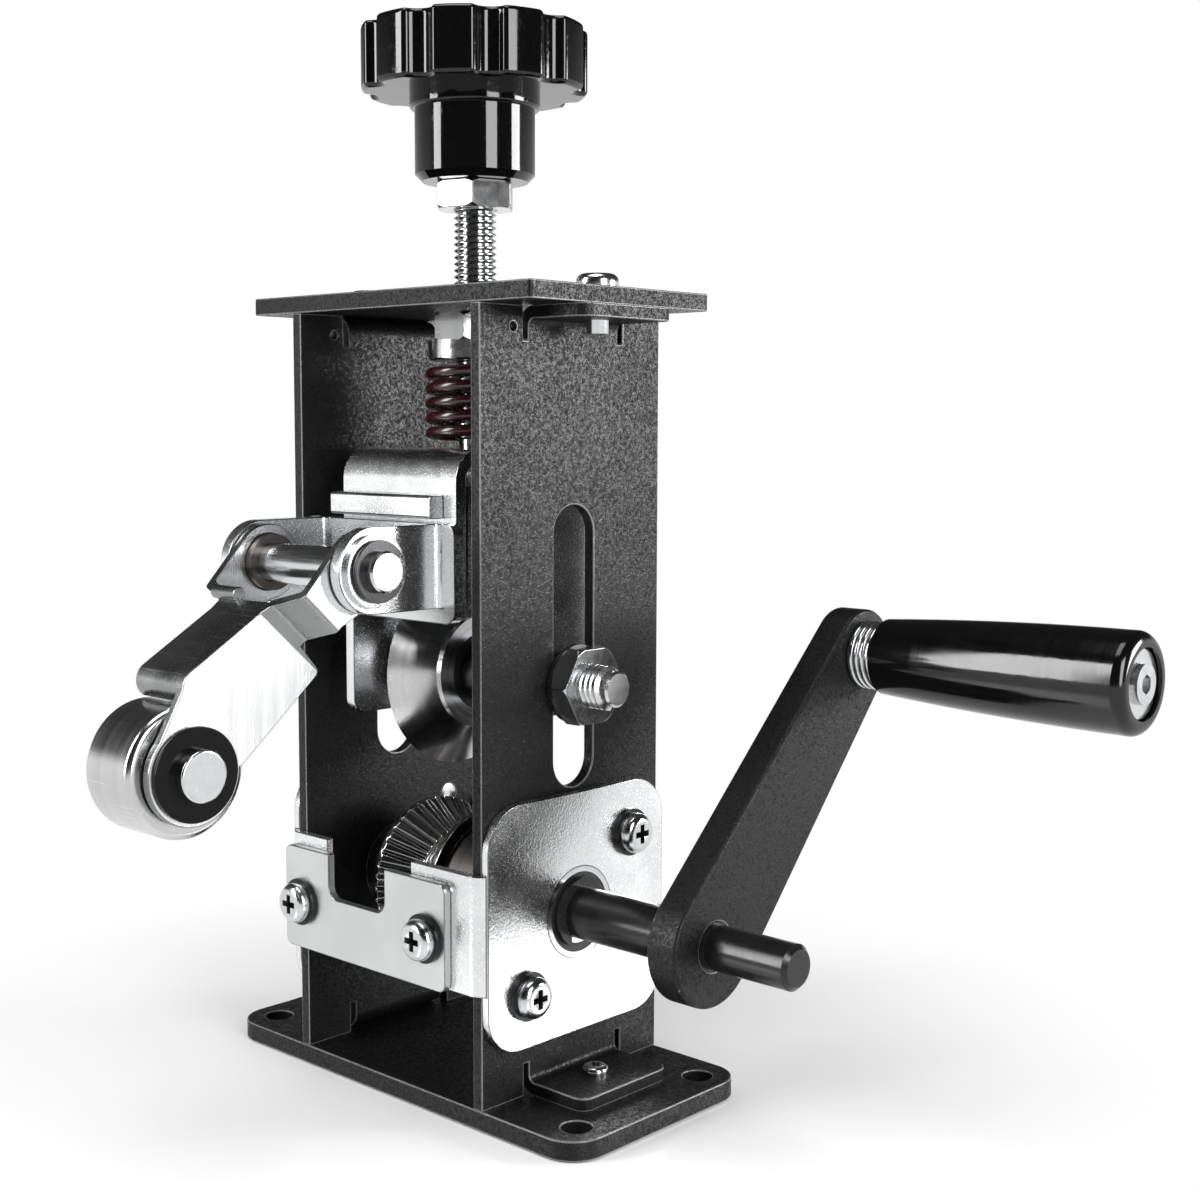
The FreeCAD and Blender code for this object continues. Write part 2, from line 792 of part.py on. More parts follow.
def fork_side(low):
    """Side view of the fork: a narrow top, straight legs and wider feet below the saddle."""
    neck_z = fork_top - fork_neck_height
    half = [
        (fork_neck_depth / 2, fork_top), (fork_neck_depth / 2, neck_z),
        (fork_depth / 2, neck_z), (fork_depth / 2, fork_foot_top),
        (fork_foot_depth / 2, fork_foot_top), (fork_foot_depth / 2, low),
    ]
    other_half = [(-y, z) for y, z in reversed(half)]
    points = [V(-saddle_half, y, z) for y, z in half + other_half]
    return face_of(points).extrude(V(saddle_width, 0, 0))


def make_fork():
    low = axle_z - fork_below_axle
    fork = bent_u(saddle_half, fork_top, low, sheet, fork_bend, False, fork_foot_depth / 2)
    fork = fork.common(fork_side(low))
    sight = block(fork_in, saddle_half, -fork_foot_depth / 2, -fork_right_front, low, fork_foot_top)
    fork = fork.cut(sight)

    def foot_corner(edge):
        across_leg = edge.Length < sheet + same
        return runs_along(edge, AXIS_X) and across_leg and edge.BoundBox.ZMax < low + same

    fork = round_edges(fork, fork_corner_r, foot_corner)
    fork = fork.cut(rod_z(journal_r + run_clear, fork_top - sheet, fork_top, 0, 0))
    return fork.cut(rod_x(m10_r + press_clear, -saddle_half, saddle_half, 0, axle_z))


def make_stop_block():
    low = pivot_z + clevis_ear_r + stop_gap
    half = stop_width / 2
    face = saddle_front - stop_thick
    bar = block(stop_x - half, stop_x + half, face, saddle_front, low, low + stop_height)

    def front_edge(edge):
        return runs_along(edge, AXIS_X) and edge.BoundBox.YMax < face + same

    return bar.makeChamfer(stop_chamfer, [edge for edge in bar.Edges if front_edge(edge)])


def weld_bead(x, side, low, high):
    """Hollow-faced bead in the corner between the back plate and an ear's face at x."""
    near = x + side * clevis_weld
    start = clevis_face - clevis_weld
    corner = block(min(x, near), max(x, near), start, clevis_face, low, high)
    return corner.cut(rod_z(clevis_weld, low, high, near, start))


def make_clevis():
    """Back plate on the saddle with two round-nosed ears welded to its front."""
    plate_low = pivot_z - clevis_plate_below
    low = pivot_z - clevis_ear_r
    high = pivot_z + clevis_ear_r
    plate = block(-clevis_plate_left, clevis_plate_right, clevis_face, clevis_back, plate_low, high)
    plate = round_edges(plate, clevis_plate_corner_r, lambda edge: runs_along(edge, AXIS_Y))
    pieces = []
    for x0, x1 in ((arm_x - ear_out, arm_x - ear_in), (arm_x + ear_in, arm_x + ear_out)):
        pieces.append(rod_x(clevis_ear_r, x0, x1, pivot_y, pivot_z))
        pieces.append(block(x0, x1, pivot_y, clevis_face, low, high))
        pieces.append(weld_bead(x0, -1, low, high))
        pieces.append(weld_bead(x1, 1, low, high))
    clevis = plate.fuse(pieces).removeSplitter()
    return clevis.cut(rod_x(pivot_r + press_clear, arm_x - ear_out, arm_x + ear_out, pivot_y, pivot_z))


def make_pivot_pin():
    reach = ear_out + pivot_past_ear
    pin = rod_x(pivot_r, arm_x - reach, arm_x + reach, pivot_y, pivot_z)
    pin = pin.makeChamfer(fine_chamfer, [edge for edge in pin.Edges if len(edge.Vertexes) == 1])
    groove_in = ear_out + pivot_washer_thick + clip_gap
    for side in (-1, 1):
        x0 = arm_x + side * groove_in - (clip_thick if side < 0 else 0)
        groove = ring_x(pivot_r + tool_past, pivot_r - clip_groove, x0, x0 + clip_thick, pivot_y, pivot_z)
        pin = pin.cut(groove)
    return pin


def make_pivot_rings():
    clips = []
    washers = []
    for side in (-1, 1):
        washer = ring_x(pivot_washer_r, pivot_r + screw_clear, ear_out, ear_out + pivot_washer_thick, 0, 0)
        clip = clip_x(clip_r, pivot_r - clip_groove + press_clear, clip_thick)
        clip.rotate(V(0, 0, 0), AXIS_X, 90)
        clip.translate(V(ear_out + pivot_washer_thick + clip_gap, 0, 0))
        spot = V(arm_x, pivot_y, pivot_z)
        for ring, rings in ((clip, clips), (washer, washers)):
            ring = ring if side > 0 else mirror_x(ring)
            ring.translate(spot)
            rings.append(ring)
    return group(clips), group(washers)


def make_blade_axle():
    plain_half = side_in - axle_thread_inside
    plain = rod_x(m10_r, -plain_half, plain_half, 0, axle_z)
    end = turn_to_x(threaded_rod(m10_r, m10_pitch, axle_half - plain_half + thread_join))
    end.translate(V(plain_half - thread_join, 0, axle_z))
    end = end.common(rod_x(m10_r + tool_past, plain_half, axle_half + tool_past, 0, axle_z))
    return plain.fuse([end, mirror_x(end)])


def make_axle_nuts():
    nut = hex_nut_x(m10_flats, nut_in, axle_nut_height, m10_r + press_clear, 0, axle_z)
    nut.rotate(V(0, 0, axle_z), AXIS_X, axle_nut_turn)
    return group([nut, mirror_x(nut)])


def make_axle_washers():
    washer = ring_x(axle_washer_r, m10_r + press_clear, washer_in, nut_in, 0, axle_z)
    return group([washer, mirror_x(washer)])


def make_axle_spacers():
    bore = m10_r + press_clear
    outer = ring_x(spacer_r, bore, saddle_half, side_in - slide_gap, 0, axle_z)
    left_in = wire_x - cutter_left - slide_gap
    right_in = wire_x + cutter_right + slide_gap
    left = ring_x(spacer_r, bore, -fork_in, left_in, 0, axle_z)
    right = ring_x(spacer_r, bore, right_in, fork_in, 0, axle_z)
    return group([outer, mirror_x(outer), left, right])


# ---------------------------------------------------------------- cutter
def make_cutter_disc():
    """Round blade with its edge on the wire line and a bearing seat at each end."""
    x_left = wire_x - cutter_left
    x_right = wire_x + cutter_right
    profile = [
        V(x_left, 0, axle_z + cutter_bearing_r - cutter_bearing_race),
        V(x_left, 0, axle_z + cutter_hub_r),
        V(wire_x - cutter_back_bevel, 0, axle_z + cutter_shoulder_r),
        V(wire_x, 0, axle_z + cutter_r),
        V(wire_x + cutter_bevel, 0, axle_z + cutter_hub_r),
        V(x_right, 0, axle_z + cutter_hub_r),
        V(x_right, 0, axle_z + cutter_bearing_r - cutter_bearing_race),
    ]
    disc = face_of(profile).revolve(V(0, 0, axle_z), AXIS_X, 360)
    seat = cutter_bearing_r + press_clear
    disc = disc.cut(rod_x(seat, x_left, x_left + cutter_bearing_width, 0, axle_z))
    return disc.cut(rod_x(seat, x_right - cutter_bearing_width, x_right, 0, axle_z))


def make_cutter_bearings():
    rows = [[], [], [], []]
    for x0 in (wire_x - cutter_left, wire_x + cutter_right - cutter_bearing_width):
        parts = bearing(cutter_bearing_r, m10_r + press_clear, cutter_bearing_width,
                        cutter_bearing_race, cutter_ball_r, cutter_balls, bearing_shield)
        for part, row in zip(parts, rows):
            part.translate(V(x0, 0, axle_z))
            row.append(part)
    return [group(row) for row in rows]


# ---------------------------------------------------------------- swing arm and guide roller
def on_arm(u, v):
    """Point in the YZ plane, u along the arm from pivot to roller, v towards its upper face."""
    droop = math.radians(arm_droop)
    y = pivot_y - u * math.cos(droop) - v * math.sin(droop)
    z = pivot_z - u * math.sin(droop) + v * math.cos(droop)
    return y, z


def arm_prism(x0, x1, outline):
    """Side-view outline in arm distances, drawn out from x0 to x1."""
    corners = []
    for u, v in outline:
        y, z = on_arm(u, v)
        corners.append(V(x0, y, z))
    return face_of(corners).extrude(V(x1 - x0, 0, 0))


def arm_block(x0, x1, u0, u1, v0, v1):
    return arm_prism(x0, x1, [(u0, v0), (u1, v0), (u1, v1), (u0, v1)])


def arm_rod(radius, x0, x1, u, v):
    y, z = on_arm(u, v)
    return rod_x(radius, x0, x1, y, z)


def other_face(path, thick):
    """Corners of a bent sheet's other face, thick to the left of the path."""
    normals = []
    for (u0, w0), (u1, w1) in zip(path, path[1:]):
        length = math.hypot(u1 - u0, w1 - w0)
        normals.append(((w0 - w1) / length, (u1 - u0) / length))
    before = [normals[0]] + normals
    after = normals + [normals[-1]]
    corners = []
    for (u, w), (a, b), (c, d) in zip(path, before, after):
        share = thick / (1 + a * c + b * d)
        corners.append((u + share * (a + c), w + share * (b + d)))
    return corners


def cheek_strip():
    """Right cheek seen from above: close to the ear at the pivot, close to the roller beyond."""
    wide = ear_in - slide_gap - arm_sheet
    narrow = arm_inside / 2
    start = -arm_pivot_eye_r - tool_past
    end = arm_length + arm_roller_eye_r + tool_past
    inner_face = [
        (start, wide), (arm_jog_start, wide), (arm_jog_end, narrow + arm_flare),
        (arm_flare_end, narrow), (end, narrow),
    ]
    outline = inner_face + list(reversed(other_face(inner_face, arm_sheet)))
    low = -arm_heel - tool_past
    points = []
    for u, x in outline:
        y, z = on_arm(u, low)
        points.append(V(arm_x + x, y, z))
    droop = math.radians(arm_droop)
    upward = V(0, -math.sin(droop), math.cos(droop))
    strip = face_of(points).extrude(upward * (arm_web_high + tool_past - low))
    ends = (start, end)

    def bend_line(edge):
        foot = edge.Vertexes[0].Point
        along = (pivot_y - foot.y) * math.cos(droop) + (pivot_z - foot.z) * math.sin(droop)
        return runs_along(edge, upward) and min(abs(along - each) for each in ends) > same

    return round_edges(strip, arm_bend, bend_line)


def cheek_outline():
    """Side view of the right cheek: an eye at each end, a waist by the pivot and a deep heel."""
    x0 = arm_x - ear_in
    x1 = arm_x + ear_in
    middle = arm_prism(x0, x1, [
        (0, arm_pivot_eye_r), (arm_web_start, arm_web_low), (arm_web_end, arm_web_high),
        (arm_length, arm_roller_eye_r), (arm_length, 0), (arm_waist_at, -arm_waist),
        (arm_heel_at, -arm_heel), (arm_neck_at, -arm_neck), (arm_jog_start, -arm_neck),
        (0, -arm_pivot_eye_r),
    ])
    heel_y, heel_z = on_arm(arm_heel_at, -arm_heel)

    def heel(edge):
        centre = edge.BoundBox.Center
        return runs_along(edge, AXIS_X) and math.hypot(centre.y - heel_y, centre.z - heel_z) < same

    middle = round_edges(middle, arm_corner_r, heel)
    eyes = [
        arm_rod(arm_pivot_eye_r, x0, x1, 0, 0),
        arm_rod(arm_roller_eye_r, x0, x1, arm_length, 0),
    ]
    return middle.fuse(eyes).removeSplitter()


def arm_web(x0, x1):
    """Web that rises towards the roller, rolled down into a lip at its end."""
    slope = math.atan2(arm_web_high - arm_web_low, arm_web_end - arm_web_start)
    inward_u = math.sin(slope)
    inward_v = -math.cos(slope)
    sheet_u = arm_sheet * inward_u
    sheet_v = arm_sheet * inward_v
    web = arm_prism(x0, x1, [
        (arm_web_start, arm_web_low), (arm_web_end, arm_web_high),
        (arm_web_end + sheet_u, arm_web_high + sheet_v),
        (arm_web_start + sheet_u, arm_web_low + sheet_v),
    ])
    turn_u = arm_web_end + arm_lip_bend * inward_u
    turn_v = arm_web_high + arm_lip_bend * inward_v
    far = 2 * arm_lip_bend
    bend = arm_rod(arm_lip_bend, x0, x1, turn_u, turn_v)
    bend = bend.cut(arm_rod(arm_lip_bend - arm_sheet, x0, x1, turn_u, turn_v))
    bend = bend.common(arm_prism(x0, x1, [
        (turn_u, turn_v), (turn_u + far, turn_v), (turn_u + far, turn_v + far),
        (turn_u - far * inward_u, turn_v - far * inward_v),
    ]))
    lip_face = turn_u + arm_lip_bend
    lip = arm_block(x0, x1, lip_face - arm_sheet, lip_face, arm_lip_low, turn_v)
    return [web, bend, lip]


def make_swing_arm():
    """Right cheek from eye to eye, a left cheek that stops at the roller, and the web between them."""
    outer = arm_inside / 2 + arm_sheet
    right = cheek_strip()
    outline = cheek_outline()
    reach = arm_length + arm_roller_eye_r + tool_past
    roller_side = arm_block(arm_x - ear_in, arm_x, arm_left_end, reach, -reach, reach)
    left = right.mirror(V(arm_x, 0, 0), AXIS_X).cut(roller_side)
    curl_x = arm_x + arm_curl_start
    curl = arm_rod(arm_curl_r, curl_x, curl_x + arm_curl_length, arm_curl_at, arm_curl_height)
    pieces = [left.common(outline), curl] + arm_web(arm_x - outer, arm_x + outer)
    arm = right.common(outline).fuse(pieces).removeSplitter()
    arm = arm.cut(arm_rod(eye_bush_r + press_clear, arm_x - ear_in, arm_x + ear_in, 0, 0))
    return arm.cut(arm_rod(roller_pin_r + press_clear, arm_x - ear_in, arm_x + ear_in, arm_length, 0))


def make_eye_bushes():
    wide_out = ear_in - slide_gap
    inner_end = wide_out - arm_sheet - eye_bush_inward
    bush = ring_x(eye_bush_r, pivot_r + run_clear, inner_end, wide_out, 0, 0)
    pair = [bush, mirror_x(bush)]
    for each in pair:
        each.translate(V(arm_x, pivot_y, pivot_z))
    return group(pair)


def make_roller_pin():
    """Headed pin held in the right cheek; the roller turns on it and a clip keeps it on."""
    head_in = cheek_face + roller_washer_thick
    y, z = on_arm(arm_length, 0)
    shank = rod_x(roller_pin_r, roller_left - bush_past_roller - roller_pin_tail, head_in, y, z)
    head = rod_x(roller_pin_head_r, head_in, head_in + roller_pin_head, y, z)
    rim = [edge for edge in head.Edges if edge.BoundBox.XMin > head_in + roller_pin_head - same]
    head = head.makeFillet(fine_chamfer, rim)
    groove_end = clip_face + clip_thick
    groove = ring_x(roller_pin_r + tool_past, roller_pin_r - clip_groove, clip_face, groove_end, y, z)
    return shank.fuse(head).cut(groove)


def make_roller_pin_rings():
    y, z = on_arm(arm_length, 0)
    washer_end = cheek_face + roller_washer_thick
    washer = ring_x(roller_washer_r, roller_pin_r + press_clear, cheek_face, washer_end, y, z)
    clip = clip_x(roller_clip_r, roller_pin_r - clip_groove + press_clear, clip_thick)
    clip.translate(V(clip_face, y, z))
    return washer, clip


def make_guide_roller():
    y, z = on_arm(arm_length, 0)
    roller = rod_x(roller_r, roller_left, roller_right, y, z)
    roller = roller.makeFillet(roller_edge, [edge for edge in roller.Edges if len(edge.Vertexes) == 1])
    for a in (roller_left, roller_right - roller_recess_depth):
        recess = ring_x(roller_recess_r, roller_bush_r + roller_boss, a, a + roller_recess_depth, y, z)
        roller = roller.cut(recess)
    return roller.cut(rod_x(roller_bush_r + press_clear, roller_left, roller_right, y, z))


def make_roller_bush():
    start = roller_left - bush_past_roller
    end = roller_right + bush_past_roller
    y, z = on_arm(arm_length, 0)
    return ring_x(roller_bush_r, roller_pin_r + run_clear, start, end, y, z)


# ---------------------------------------------------------------- adjusting screw and knob
def make_adjusting_screw():
    """Threaded through the captive nut, with a plain end held in the saddle."""
    shoulder = saddle_top + slide_gap
    top = jam_top + knob_insert_height
    rod = threaded_rod(m10_r, m10_pitch, top - shoulder)
    rod.translate(V(0, 0, shoulder))
    nut_top = fork_top - sheet - slide_gap
    tail = nut_top - lock_nut_height - screw_tail
    end = rod_z(journal_r, tail, shoulder + thread_join, 0, 0)
    low_edge = [edge for edge in end.Edges if edge.BoundBox.ZMax < tail + same]
    end = end.makeChamfer(fine_chamfer, low_edge)
    return rod.fuse(end)


def make_lock_nut():
    nut_top = fork_top - sheet - slide_gap
    return hex_nut_z(lock_nut_flats, nut_top - lock_nut_height, lock_nut_height, journal_r + press_clear)


def make_jam_nut():
    nut = hex_nut_z(m10_flats, jam_low, jam_nut_height, m10_r + press_clear)
    nut.rotate(V(0, 0, 0), AXIS_Z, jam_nut_turn)
    return nut


def make_knob():
    """Moulded knob: round hub below, scalloped crown above."""
    hub = rod_z(knob_hub_r, jam_top, hub_top, 0, 0)
    low_edge = [edge for edge in hub.Edges if edge.BoundBox.ZMax < jam_top + same]
    hub = hub.makeChamfer(knob_hub_chamfer, low_edge)
    neck = rod_z(knob_neck_r, hub_top, hub_top + knob_neck_height, 0, 0)
    neck_low = [edge for edge in neck.Edges if edge.BoundBox.ZMax < hub_top + same]
    neck = neck.makeFillet(knob_neck_edge, neck_low)
    crown_low = hub_top + knob_neck_height
    crown_top = crown_low + knob_crown_height
    crown = rod_z(knob_crown_r, crown_low, crown_top, 0, 0)
    scallops = []
    for step in range(knob_lobes):
        angle = math.radians(360 * step / knob_lobes)
        spot_x = knob_scallop_out * math.cos(angle)
        spot_y = knob_scallop_out * math.sin(angle)
        scallops.append(rod_z(knob_scallop_r, crown_low, crown_top, spot_x, spot_y))
    crown = crown.cut(group(scallops))
    crown = round_edges(crown, knob_lobe_round, lambda edge: runs_along(edge, AXIS_Z))

    def rim(edge):
        return edge.BoundBox.ZMax - edge.BoundBox.ZMin < same

    crown = round_edges(crown, knob_edge, rim)
    knob = hub.fuse([neck, crown]).removeSplitter()
    seat = knob_insert_r + press_clear
    return knob.cut(rod_z(seat, jam_top, jam_top + knob_insert_height + knob_seat_past, 0, 0))


def make_knob_insert():
    return ring_z(knob_insert_r, m10_r + press_clear, jam_top, jam_top + knob_insert_height)


# ---------------------------------------------------------------- drive shaft and roller
def make_drive_shaft():
    left = -bracket_out - ring_thick - shaft_left_over
    shaft = rod_x(shaft_r, left, crank_in, 0, shaft_z)
    seat = rod_x(crank_seat_r, crank_in, crank_out, 0, shaft_z)
    stub = rod_x(stub_r, crank_out, crank_out + stub_length, 0, shaft_z)
    tip = [edge for edge in stub.Edges if edge.BoundBox.XMin > crank_out + stub_length - same]
    stub = stub.makeChamfer(stub_chamfer, tip)
    left_tip = [edge for edge in shaft.Edges if edge.BoundBox.XMax < left + same]
    shaft = shaft.makeChamfer(stub_chamfer, left_tip).fuse([seat, stub])
    for x0 in (-bracket_out - slide_gap - ring_thick, bracket_out + slide_gap):
        groove = ring_x(shaft_r + tool_past, shaft_r - ring_groove, x0, x0 + ring_thick, 0, shaft_z)
        shaft = shaft.cut(groove)
    return shaft


def make_shaft_rings():
    rings = []
    for x0 in (-bracket_out - slide_gap - ring_thick, bracket_out + slide_gap):
        ring = clip_x(shaft_r + ring_width, shaft_r - ring_groove + press_clear, ring_thick)
        ring.translate(V(x0, 0, shaft_z))
        rings.append(ring)
    return group(rings)


def make_shaft_bearings():
    rows = [[], [], [], []]
    for x0 in (-bracket_out, side_in):
        parts = bearing(bearing_r, shaft_r + press_clear, side_thick + bracket_thick,
                        bearing_race, bearing_ball_r, bearing_balls, bearing_shield)
        for part, row in zip(parts, rows):
            part.translate(V(x0, 0, shaft_z))
            row.append(part)
    return [group(row) for row in rows]


def roller_half(side, profile):
    """One toothed half of the grooved roller, turned from its profile; side is -1 left, +1 right."""
    points = [V(x, 0, shaft_z + r) for x, r in profile]
    half_roller = face_of(points).revolve(V(0, 0, shaft_z), AXIS_X, 360)
    rim_x = wire_x + side * (groove_half - rim_land)
    floor_x = wire_x + side * groove_floor / 2
    tip_x = rim_x + side * tooth_over
    corner = V(floor_x, 0, groove_r)
    tip = V(tip_x, 0, rim_r + tooth_over)
    below = V(tip_x, 0, rim_r + tooth_over - tooth_depth)
    deep = V(floor_x, 0, groove_r - tooth_depth)
    tooth = tooth_cut(corner, tip, below, deep, tooth_width / 2)
    cuts = []
    for step in range(teeth):
        each = tooth.copy()
        each.rotate(V(0, 0, 0), AXIS_X, 360 * step / teeth)
        cuts.append(each)
    gullets = group(cuts)
    gullets.translate(V(0, 0, shaft_z))
    return half_roller.cut(gullets)


def clamp_spots():
    return [(0, shaft_z + clamp_circle_r), (0, shaft_z - clamp_circle_r)]


def make_drive_roller_left():
    """Toothed cone left of the wire line, with sunk seats for the clamp screws' heads."""
    bore = shaft_r + press_clear
    half_roller = roller_half(-1, [
        (groove_left, bore), (groove_left, rim_r), (groove_left + rim_land, rim_r),
        (wire_x - groove_floor / 2, groove_r), (wire_x, groove_r), (wire_x, bore),
    ])
    seat_end = groove_left + clamp_head_height + screw_clear
    for y, z in clamp_spots():
        half_roller = half_roller.cut(rod_x(clamp_screw_r + screw_clear, groove_left, wire_x, y, z))
        half_roller = half_roller.cut(rod_x(clamp_head_r + screw_clear, groove_left, seat_end, y, z))
    return half_roller


def make_drive_roller_right():
    """Toothed cone right of the wire line, in one piece with the plain drum towards the crank."""
    bore = shaft_r + press_clear
    half_roller = roller_half(1, [
        (wire_x, bore), (wire_x, groove_r), (wire_x + groove_floor / 2, groove_r),
        (groove_right - rim_land, rim_r), (groove_right, rim_r), (groove_right, drum_r),
        (drum_end, drum_r), (drum_end, bore),
    ])
    tapped_end = groove_left + clamp_head_height + clamp_screw_length + tool_past
    for y, z in clamp_spots():
        half_roller = half_roller.cut(rod_x(clamp_screw_r + press_clear, wire_x, tapped_end, y, z))
    keep_shaft = rod_x(shaft_r, groove_left, drum_end, 0, shaft_z)
    for angle in (0, 90):
        hole = Part.makeCylinder(grub_r + press_clear, drum_r + tool_past)
        hole.rotate(V(0, 0, 0), AXIS_X, angle)
        hole.translate(V((groove_right + drum_end) / 2, 0, shaft_z))
        half_roller = half_roller.cut(hole.cut(keep_shaft))
    return half_roller


def make_clamp_screws():
    """Two cheese-head screws that draw the roller's halves together, heads on the left."""
    screws = []
    start = groove_left + screw_clear
    head_end = start + clamp_head_height
    for y, z in clamp_spots():
        head = rod_x(clamp_head_r, start, head_end, y, z)
        shank = rod_x(clamp_screw_r, head_end, head_end + clamp_screw_length, y, z)
        slot_half = clamp_slot_width / 2
        slot_end = start + clamp_slot_depth
        slot = block(start, slot_end, y - clamp_head_r, y + clamp_head_r, z - slot_half, z + slot_half)
        screws.append(head.fuse(shank).cut(slot))
    return group(screws)


def tooth_cut(corner, tip, below, deep, half):
    """Vee-shaped gullet that runs down one flank of the groove."""
    wide_floor = [corner.add(V(0, -half, 0)), deep, corner.add(V(0, half, 0))]
    wide_rim = [tip.add(V(0, -half, 0)), below, tip.add(V(0, half, 0))]
    low = Part.makePolygon(wide_floor + [wide_floor[0]])
    high = Part.makePolygon(wide_rim + [wide_rim[0]])
    return Part.makeLoft([low, high], True, True)


def make_roller_grubs():
    grub_x = (groove_right + drum_end) / 2
    grubs = []
    for angle in (0, 90):
        grub = grub_screw(grub_length)
        grub.translate(V(0, 0, shaft_r + grub_gap))
        grub.rotate(V(0, 0, 0), AXIS_X, angle)
        grub.translate(V(grub_x, 0, shaft_z))
        grubs.append(grub)
    return grubs


# ---------------------------------------------------------------- crank and handle
def crank_tip():
    angle = math.radians(crank_angle)
    return crank_length * math.cos(angle), shaft_z + crank_length * math.sin(angle)


def make_crank_arm():
    """Tapered bar from the shaft to the handle, with rounded ends."""
    angle = math.radians(crank_angle)
    lean = math.asin((crank_hub_r - crank_tip_r) / crank_length)
    corners = []
    for along, radius, turn in (
        (0, crank_hub_r, 1), (crank_length, crank_tip_r, 1),
        (crank_length, crank_tip_r, -1), (0, crank_hub_r, -1),
    ):
        normal = angle + turn * (math.pi / 2 - lean)
        y = along * math.cos(angle) + radius * math.cos(normal)
        z = along * math.sin(angle) + radius * math.sin(normal)
        corners.append(V(crank_in, y, shaft_z + z))
    tip_y, tip_z = crank_tip()
    bar = face_of(corners).extrude(V(crank_thick, 0, 0))
    hub = rod_x(crank_hub_r, crank_in, crank_out, 0, shaft_z)
    tip = rod_x(crank_tip_r, crank_in, crank_out, tip_y, tip_z)
    arm = bar.fuse([hub, tip]).removeSplitter()

    def on_face(edge):
        return edge.BoundBox.XMax - edge.BoundBox.XMin < same

    arm = round_edges(arm, crank_edge, on_face)
    arm = arm.cut(rod_x(crank_seat_r + press_clear, crank_in, crank_out, 0, shaft_z))
    arm = arm.cut(rod_x(spindle_r + press_clear, crank_in, crank_out, tip_y, tip_z))
    nut_seat = hexagon(spindle_nut_flats + 2 * screw_clear, spindle_nut_height, socket_chamfer)
    nut_seat = turn_to_x(nut_seat)
    nut_seat.translate(V(crank_in, tip_y, tip_z))
    arm = arm.cut(nut_seat)
    return arm.cut(crank_grub_space(crank_hub_r + tool_past, grub_r + press_clear))


def crank_grub_space(reach, radius):
    """Hole for the grub screw, straight across the arm from its lower edge to the shaft."""
    start = crank_seat_r + grub_gap
    hole = Part.makeCylinder(radius, reach - start, V(0, 0, start))
    hole.rotate(V(0, 0, 0), AXIS_X, crank_angle - 180)
    hole.translate(V((crank_in + crank_out) / 2, 0, shaft_z))
    return hole


def make_crank_grub():
    grub = grub_screw(grub_length)
    grub.translate(V(0, 0, crank_seat_r + grub_gap))
    grub.rotate(V(0, 0, 0), AXIS_X, crank_angle - 180)
    grub.translate(V((crank_in + crank_out) / 2, 0, shaft_z))
    return grub


def grip_span():
    start = crank_out + ferrule_rings * ferrule_ring_thick + slide_gap
    return start, start + grip_length


def make_ferrule():
    tip_y, tip_z = crank_tip()
    rings = []
    for step in range(ferrule_rings):
        x0 = crank_out + step * ferrule_ring_thick
        ring = rod_x(ferrule_ring_r, x0, x0 + ferrule_ring_thick, tip_y, tip_z)
        ring = ring.makeFillet(ferrule_ring_round, [edge for edge in ring.Edges if len(edge.Vertexes) == 1])
        rings.append(ring.cut(rod_x(spindle_r + press_clear, x0, x0 + ferrule_ring_thick, tip_y, tip_z)))
    return group(rings)


def make_spindle():
    """Shoulder bolt: the grip turns on its shank and a nut holds it in the arm."""
    tip_y, tip_z = crank_tip()
    start, end = grip_span()
    head_in = end - grip_recess_depth + end_washer_thick + slide_gap
    shank = rod_x(spindle_r, crank_in, head_in, tip_y, tip_z)
    head = rod_x(spindle_head_r, head_in, head_in + spindle_head_height, tip_y, tip_z)
    socket = turn_to_x(hexagon(2 * spindle_socket_r, spindle_socket_depth, socket_chamfer))
    socket.translate(V(head_in + spindle_head_height - spindle_socket_depth, tip_y, tip_z))
    return shank.fuse(head).cut(socket)


def make_spindle_nut():
    tip_y, tip_z = crank_tip()
    return hex_nut_x(spindle_nut_flats, crank_in, spindle_nut_height, spindle_r + press_clear, tip_y, tip_z)


def make_end_washer():
    tip_y, tip_z = crank_tip()
    start, end = grip_span()
    x0 = end - grip_recess_depth + slide_gap
    return ring_x(end_washer_r, spindle_r + press_clear, x0, x0 + end_washer_thick, tip_y, tip_z)


def make_grip():
    """Turned grip, slim at the arm and swelling towards its rounded end."""
    tip_y, tip_z = crank_tip()
    start, end = grip_span()
    bore = spindle_r + run_clear
    first = V(start, 0, grip_start_r)
    middle = V((start + end) / 2, 0, grip_swell_r)
    last = V(end - grip_round, 0, grip_end_r)
    side = Part.Arc(first, middle, last).toShape()
    shoulder_mid = V(end - grip_round * (1 - math.sin(math.pi / 4)), 0,
                     grip_end_r - grip_round * (1 - math.cos(math.pi / 4)))
    shoulder = Part.Arc(last, shoulder_mid, V(end, 0, grip_end_r - grip_round)).toShape()
    corners = [
        V(end, 0, grip_end_r - grip_round), V(end, 0, grip_recess_r),
        V(end - grip_recess_depth, 0, grip_recess_r), V(end - grip_recess_depth, 0, bore),
        V(start, 0, bore), V(start, 0, grip_start_r),
    ]
    lines = [Part.makeLine(corners[k], corners[k + 1]) for k in range(len(corners) - 1)]
    wire = Part.Wire([side, shoulder] + lines)
    grip = Part.Face(wire).revolve(V(0, 0, 0), AXIS_X, 360)
    grip.translate(V(0, tip_y, tip_z))
    return grip


